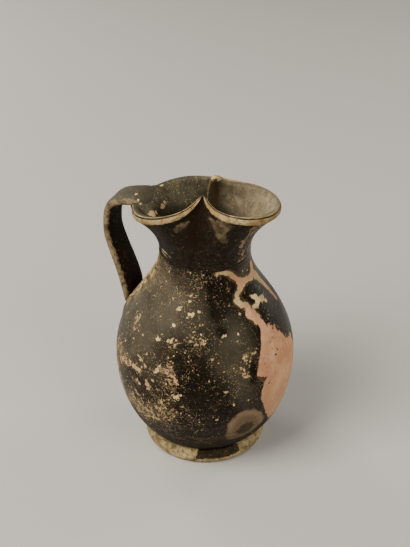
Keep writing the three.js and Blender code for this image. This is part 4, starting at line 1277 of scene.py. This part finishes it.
def neckMaterial():
    material, tree, shader = newMaterial("worn black gloss on the neck and lip")
    own = coloursOf(neckFinish)
    effects, strength, levels, roughness, lip = (
        neckFinish[name] for name in ("effects", "strength", "levels", "roughness", "lip"))
    across, outside, pinched, pinkSide = (
        reading(tree, name) for name in ("across", "outside", "pinched", "pinkSide"))
    creamDark = tintOf("creamDark")
    unsmeared = ramp(tree, reading(tree, "smeared"), 0.1, 0.5, 1.0, 0.0)
    where = objectPlace(tree)
    axes = place(tree, "ShaderNodeSeparateXYZ", {0: where}).outputs
    level, farSide = axes["Z"], ramp(tree, axes["Y"], 0.001, 0.009)
    spout = ramp(tree, axes["X"], 0.002, 0.012)
    # painted light: the upper inside of the mouth is painted a lighter olive, brightest in the spout lobe that
    # faces the key light, with lighter copies of its grime and flecks there
    lit = times(tree, minus(tree, 1.0, outside), ramp(tree, level, *levels["lit"]),
                ramp(tree, spout, 0.0, 1.0, 0.8, 1.0))
    film = filmWith(tree, over(tree, spout, own["rearPaintedLight"], own["spoutPaintedLight"]),
                    withShares(tree, 0.01, (lit, 0.95)), 0.4)
    clay = clayWith(tree, own["lipCream"], own["lipDark"], own["lipStain"], 0.85)
    drawn = stretched(tree, where, (1.0, 1.0, 0.45))
    grime = ramp(tree, noise(tree, drawn, 330.0, 6.0, 0.75, 0.7), 0.42, 0.62)
    skin = coat(tree, film["Color"], over(tree, spout, own["rearGrimeDim"], own["spoutGrimeLit"]), lit, grime,
                strength["grime"])
    veins = crackled(tree, times(tree, lit, spout, 0.75), *effects["veins"])
    skin = coat(tree, skin, creamDark, veins, strength["veins"])
    halo = flecked(tree, withShares(tree, 0.2, (lit, 0.3)), *effects["halo"])
    haloColour = over(tree, times(tree, lit, spout), tintOf("tan"), own["spoutHaloLit"])
    skin = coat(tree, skin, haloColour, halo, strength["halo"])
    faint = flecked(tree, times(tree, outside, 0.42), *effects["faint"])
    skin = coat(tree, skin, own["faint"], faint, strength["faint"])
    threads = crackled(tree, times(tree, outside, 0.5), *effects["threads"])
    skin = coat(tree, skin, own["threads"], threads, strength["threads"])
    fine = dotted(tree, withShares(tree, 0.11, (lit, 0.16), (pinkSide, 0.3)), *effects["fineDots"])
    skin = coat(tree, skin, over(tree, outside, creamDark, tintOf("worn")), fine, strength["fineDots"])
    patches = flecked(tree, withShares(tree, 0.1, (pinkSide, 0.6)), *effects["patches"])
    skin = coat(tree, skin, own["patches"], patches, strength["patches"])
    lost = highest(tree, fine, patches)
    # painted shade: under the pinches the neck is painted a near-black reddish brown, and pale streaks lie
    # beside it
    pinchShade = times(tree, outside, pinched, ramp(tree, level, *levels["pinchShade"]))
    skin = coat(tree, skin, own["pinchShade"], pinchShade, strength["pinchShade"])
    broken = ramp(tree, noise(tree, where, 260.0, 5.0, 0.7, 0.5), 0.4, 0.62, 0.25, 1.0)
    skin = coat(tree, skin, own["streaks"], edged(tree, neckFinish, "streaks"), broken, strength["streaks"])
    skin = coat(tree, skin, tintOf("cream"), edged(tree, neckFinish, "arcs"), strength["arcs"])
    for name in ("fold", "foldEdge"):  # the fold inside the far pinch
        skin = coat(tree, skin, own[name], edged(tree, neckFinish, name), strength[name])
    # the lip's roll is worn to the clay, with a fine dark line and a bright one inside it
    shake = swing(tree, where, 2.4, 300.0, 5.0, 0.68)
    small = withShares(tree, across, (shake, 0.22))
    outerEdge = withShares(tree, lip["wearOutside"], (pinched, -1.7))
    fromOuter = minus(tree, maths(tree, across, shake), outerEdge)
    fromInside = withShares(tree, small, (farSide, 0.85))
    nearTip = ramp(tree, pinched, 0.9, 0.98, 1.0, 0.1)
    band = times(tree, ramp(tree, fromInside, *lip["wear"]), ramp(tree, fromOuter, -0.35, 0.35, 1.0, 0.0),
                 unsmeared, nearTip)
    close = times(tree, unsmeared, nearTip, ramp(tree, farSide, 0.0, 1.0, 1.0, 0.12))
    bright, line = (
        times(tree, ramp(tree, small, *comes), ramp(tree, small, *goes, 1.0, 0.0), close)
        for comes, goes in (lip["bright"], lip["dark"]))
    kept = flecked(tree, 0.5, *effects["lipKept"])
    specks = dotted(tree, 0.3, *effects["lipSpecks"])
    black = highest(tree, times(tree, kept, 0.7), times(tree, specks, 0.5))
    worn = times(tree, highest(tree, band, times(tree, bright, 0.9)), minus(tree, 1.0, black))
    skin = over(tree, worn, skin, clay["Color"])
    gaps = ramp(tree, noise(tree, where, 240.0, 4.0, 0.7), 0.4, 0.55, 0.35, 1.0)
    skin = coat(tree, skin, own["darkLine"], line, gaps, strength["darkLine"])
    cream = edged(tree, neckFinish, "creamSpots")
    skin = coat(tree, skin, paleGround(tree, tintOf("orange"), 0.3)["Color"], cream, strength["creamSpots"])
    rough = overValue(tree, highest(tree, worn, cream, lost), film["Roughness"], roughness["bare"])
    rough = overValue(tree, pinchShade, rough, roughness["pinchShade"])
    relief = withShares(tree, times(tree, film["Height"], 0.3), (clay["Height"], 0.3), (lost, -0.5),
                        (times(tree, kept, band), 0.4))
    finishWith(tree, shader, skin, rough, relief, neckFinish["bumpDepth"])
    return material


footFinish = {
    "bumpDepth": 0.18, "blackAmount": 0.17, "blackStrength": 0.92, "dotStrength": 0.6, "bareRoughness": 0.82,
    "largeFlecks": (340.0, 0.05), "smallFlecks": (1100.0, 0.05), "dots": (0.3, 1200.0, 0.5),
    # heights in metres: the black ends above the resting edge, at the front above a pale strip
    "restingEdge": (0.0014, 0.003), "paleStrip": (0.0021, 0.0043),
    "colours": {
        "light": (0.58, 0.44, 0.22), "dark": (0.27, 0.195, 0.09), "stain": (0.07, 0.055, 0.03),
        "dots": (0.2, 0.14, 0.07),
    },
}


def footMaterial():
    material, tree, shader = newMaterial("worn foot")
    f, own = footFinish, coloursOf(footFinish)
    clay = clayWith(tree, own["light"], own["dark"], own["stain"], 0.8)
    film = filmWith(tree, tintOf("dullAndSheen"), 0.0, 0.3)
    where = objectPlace(tree)
    level = place(tree, "ShaderNodeSeparateXYZ", {0: where}).outputs["Z"]
    shake = swing(tree, where, 2.4, 300.0, 4.0, 0.65)
    solid = times(tree, reading(tree, "blackFront"), ramp(tree, level, *f["paleStrip"]))
    solid = ramp(tree, maths(tree, solid, shake), 0.42, 0.58)
    blackness = times(tree, reading(tree, "glossKept"), ramp(tree, level, *f["restingEdge"]))
    amount = maths(tree, f["blackAmount"], times(tree, blackness, 0.95), "ADD", True)
    large = flecked(tree, amount, *f["largeFlecks"])
    small = flecked(tree, times(tree, amount, 0.9), *f["smallFlecks"])
    kept = highest(tree, large, small, solid)
    skin = coat(tree, clay["Color"], film["Color"], kept, f["blackStrength"])
    skin = coat(tree, skin, own["dots"], dotted(tree, *f["dots"]), f["dotStrength"])
    rough = overValue(tree, kept, f["bareRoughness"], film["Roughness"])
    relief = withShares(tree, times(tree, clay["Height"], 0.5), (kept, 0.5))
    finishWith(tree, shader, skin, rough, relief, f["bumpDepth"])
    return material


slipFinish = {
    "bumpDepth": 0.12, "lossAmount": 0.14, "loss": (900.0, 0.06), "lossStrength": 0.75,
    "dots": (0.24, 1650.0, 0.45), "dotStrength": 0.5, "bareRoughness": 0.8,
}


def slipMaterial():
    material, tree, shader = newMaterial("slip at the throat")
    s = slipFinish
    film = filmWith(tree, tintOf("dullAndSheen"), 0.08, 0.5)
    rubbed = times(tree, reading(tree, "rubbed"), reading(tree, "ridge"))
    lost = flecked(tree, withShares(tree, s["lossAmount"], (rubbed, 0.3)), *s["loss"])
    skin = coat(tree, film["Color"], tintOf("creamDark"), dotted(tree, *s["dots"]), s["dotStrength"])
    skin = coat(tree, skin, paleGround(tree, tintOf("tan"), 0.5)["Color"], lost, s["lossStrength"])
    rough = overValue(tree, lost, film["Roughness"], s["bareRoughness"])
    relief = withShares(tree, times(tree, film["Height"], 0.3), (lost, -0.4))
    finishWith(tree, shader, skin, rough, relief, s["bumpDepth"])
    return material


handleFinish = {
    "bumpDepth": 0.16, "bareRoughness": 0.82, "innerStrength": 0.95, "creamStrength": 0.8,
    "innerFlecks": (0.52, 380.0, 0.12), "edgeFlecks": (0.55, 520.0, 0.08), "dots": (1650.0, 0.44),
    "rubbedEdge": (0.8, 0.93),
    "edges": {"creamSpots": (0.75, 700.0, 0.2)},
    "colours": {
        "light": (0.6, 0.44, 0.235), "dark": (0.28, 0.19, 0.1), "innerDark": (0.0085, 0.004, 0.0018),
        "innerBrown": (0.1, 0.042, 0.015),
    },
}


def handleMaterial():
    material, tree, shader = newMaterial("worn black gloss on the handle")
    h, own = handleFinish, coloursOf(handleFinish)
    innerFace = ramp(tree, reading(tree, "innerFace"), 0.05, 0.5)
    # painted sheen: the olive veil lies on the strap's outer faces and not on its inner face, which is left
    # black
    film = filmWith(tree, tintOf("dullAndSheen"), minus(tree, 0.8, times(tree, innerFace, 0.8), True), 0.5)
    clay = clayWith(tree, own["light"], own["dark"], tintOf("stain"), 0.85)
    inner = over(tree, flecked(tree, *h["innerFlecks"]), own["innerDark"], own["innerBrown"])
    skin = coat(tree, film["Color"], inner, innerFace, h["innerStrength"])
    # the edges are rubbed to the clay, most of all the near one
    side = maths(tree, reading(tree, "edge"), swing(tree, objectPlace(tree), 0.75, 260.0, 5.0, 0.68))
    closeSide = ramp(tree, reading(tree, "nearEdge"), -0.2, 0.6, 0.4, 1.0)
    broken = withShares(tree, 1.0, (flecked(tree, *h["edgeFlecks"]), -0.8))
    rubbed = times(tree, ramp(tree, side, *h["rubbedEdge"]), closeSide, broken)
    fine = dotted(tree, ramp(tree, innerFace, 0.0, 1.0, 0.24, 0.1), *h["dots"])
    lost = highest(tree, rubbed, times(tree, fine, 0.5))
    skin = over(tree, lost, skin, clay["Color"])
    cream = edged(tree, handleFinish, "creamSpots")
    skin = coat(tree, skin, tintOf("cream"), cream, h["creamStrength"])
    rough = overValue(tree, highest(tree, lost, cream, innerFace), film["Roughness"], h["bareRoughness"])
    relief = withShares(tree, times(tree, film["Height"], 0.35), (lost, -0.4))
    finishWith(tree, shader, skin, rough, relief, h["bumpDepth"])
    return material


print("materials: body, neck, foot, throat slip, handle")
for piece, makeMaterial in ((body, bodyMaterial), (neck, neckMaterial), (foot, footMaterial),
                            (slipRing, slipMaterial), (handle, handleMaterial)):
    piece.data.materials.append(makeMaterial())

print("pieces ride on the frame")
for piece, node, slot in (
        (body, "body", "black_gloss"), (foot, "foot_ring", "bare_clay"),
        (slipRing, "neck_joint_ring", "slip_line"),
        (neck, "neck_and_mouth", "black_gloss"), (handle, "handle", "black_gloss")):
    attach(piece, "root")
    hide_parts(node)


# Camera, floor and light

view = {"azimuth": 18.0, "elevation": 33.0, "distance": 0.588, "aimHeight": 0.0842, "lens": 90.0}


def addCamera():
    a, e = math.radians(view["azimuth"]), math.radians(view["elevation"])
    back = Vector((math.sin(a) * math.cos(e), -math.cos(a) * math.cos(e), math.sin(e)))
    camera = bpy.data.objects.new("camera", bpy.data.cameras.new("camera"))
    camera.data.lens = view["lens"]
    camera.data.sensor_width = 36.0
    camera.data.clip_start = 0.01
    camera.location = Vector((axisX, axisY, view["aimHeight"])) + back * view["distance"]
    camera.rotation_euler = back.to_track_quat("Z", "Y").to_euler()
    bpy.context.scene.collection.objects.link(camera)
    bpy.context.scene.camera = camera


studio = {
    "floorColour": (0.58, 0.565, 0.535), "floorHalf": 4.0, "worldColour": (1.0, 0.96, 0.9),
    "worldStrength": 0.13, "lampColour": (1.0, 0.95, 0.87), "lampsAim": 0.07,
    # name: (azimuth, elevation, distance, width, height, watts)
    "lights": {
        "key": (-36, 50, 0.9, 0.55, 0.55, 10.5),
        "fill": (58, 38, 1.0, 0.5, 0.5, 2.9),
        "leftRim": (-125, 22, 0.7, 0.2, 0.6, 2.0),
        "rightRim": (140, 20, 0.7, 0.2, 0.6, 1.6),
    },
}


def addFloor():
    mesh = bpy.data.meshes.new("floor")
    s = studio["floorHalf"]
    mesh.from_pydata([(-s, -s, 0), (s, -s, 0), (s, s, 0), (-s, s, 0)], [], [(0, 1, 2, 3)])
    floor = bpy.data.objects.new("floor", mesh)
    bpy.context.scene.collection.objects.link(floor)
    material, _, shader = newMaterial("pale floor")
    shader.inputs["Base Color"].default_value = colour(*studio["floorColour"])
    shader.inputs["Roughness"].default_value = 0.9
    mesh.materials.append(material)


def addLights():
    for name, (azimuth, elevation, distance, width, height, watts) in studio["lights"].items():
        a, e = math.radians(azimuth), math.radians(elevation)
        towards = Vector((math.sin(a) * math.cos(e), -math.cos(a) * math.cos(e), math.sin(e)))
        lamp = bpy.data.lights.new(name, "AREA")
        lamp.shape = "RECTANGLE"
        lamp.size, lamp.size_y, lamp.energy = width, height, watts
        lamp.color = studio["lampColour"]
        holder = bpy.data.objects.new(name, lamp)
        holder.location = Vector((axisX, axisY, studio["lampsAim"])) + towards * distance
        holder.rotation_euler = towards.to_track_quat("Z", "Y").to_euler()
        bpy.context.scene.collection.objects.link(holder)
    world = bpy.data.worlds.new("studio")
    world.use_nodes = True
    sky = world.node_tree.nodes["Background"]
    sky.inputs["Color"].default_value = colour(*studio["worldColour"])
    sky.inputs["Strength"].default_value = studio["worldStrength"]
    bpy.context.scene.world = world


print("camera, floor and lights")
addCamera()
addFloor()
addLights()
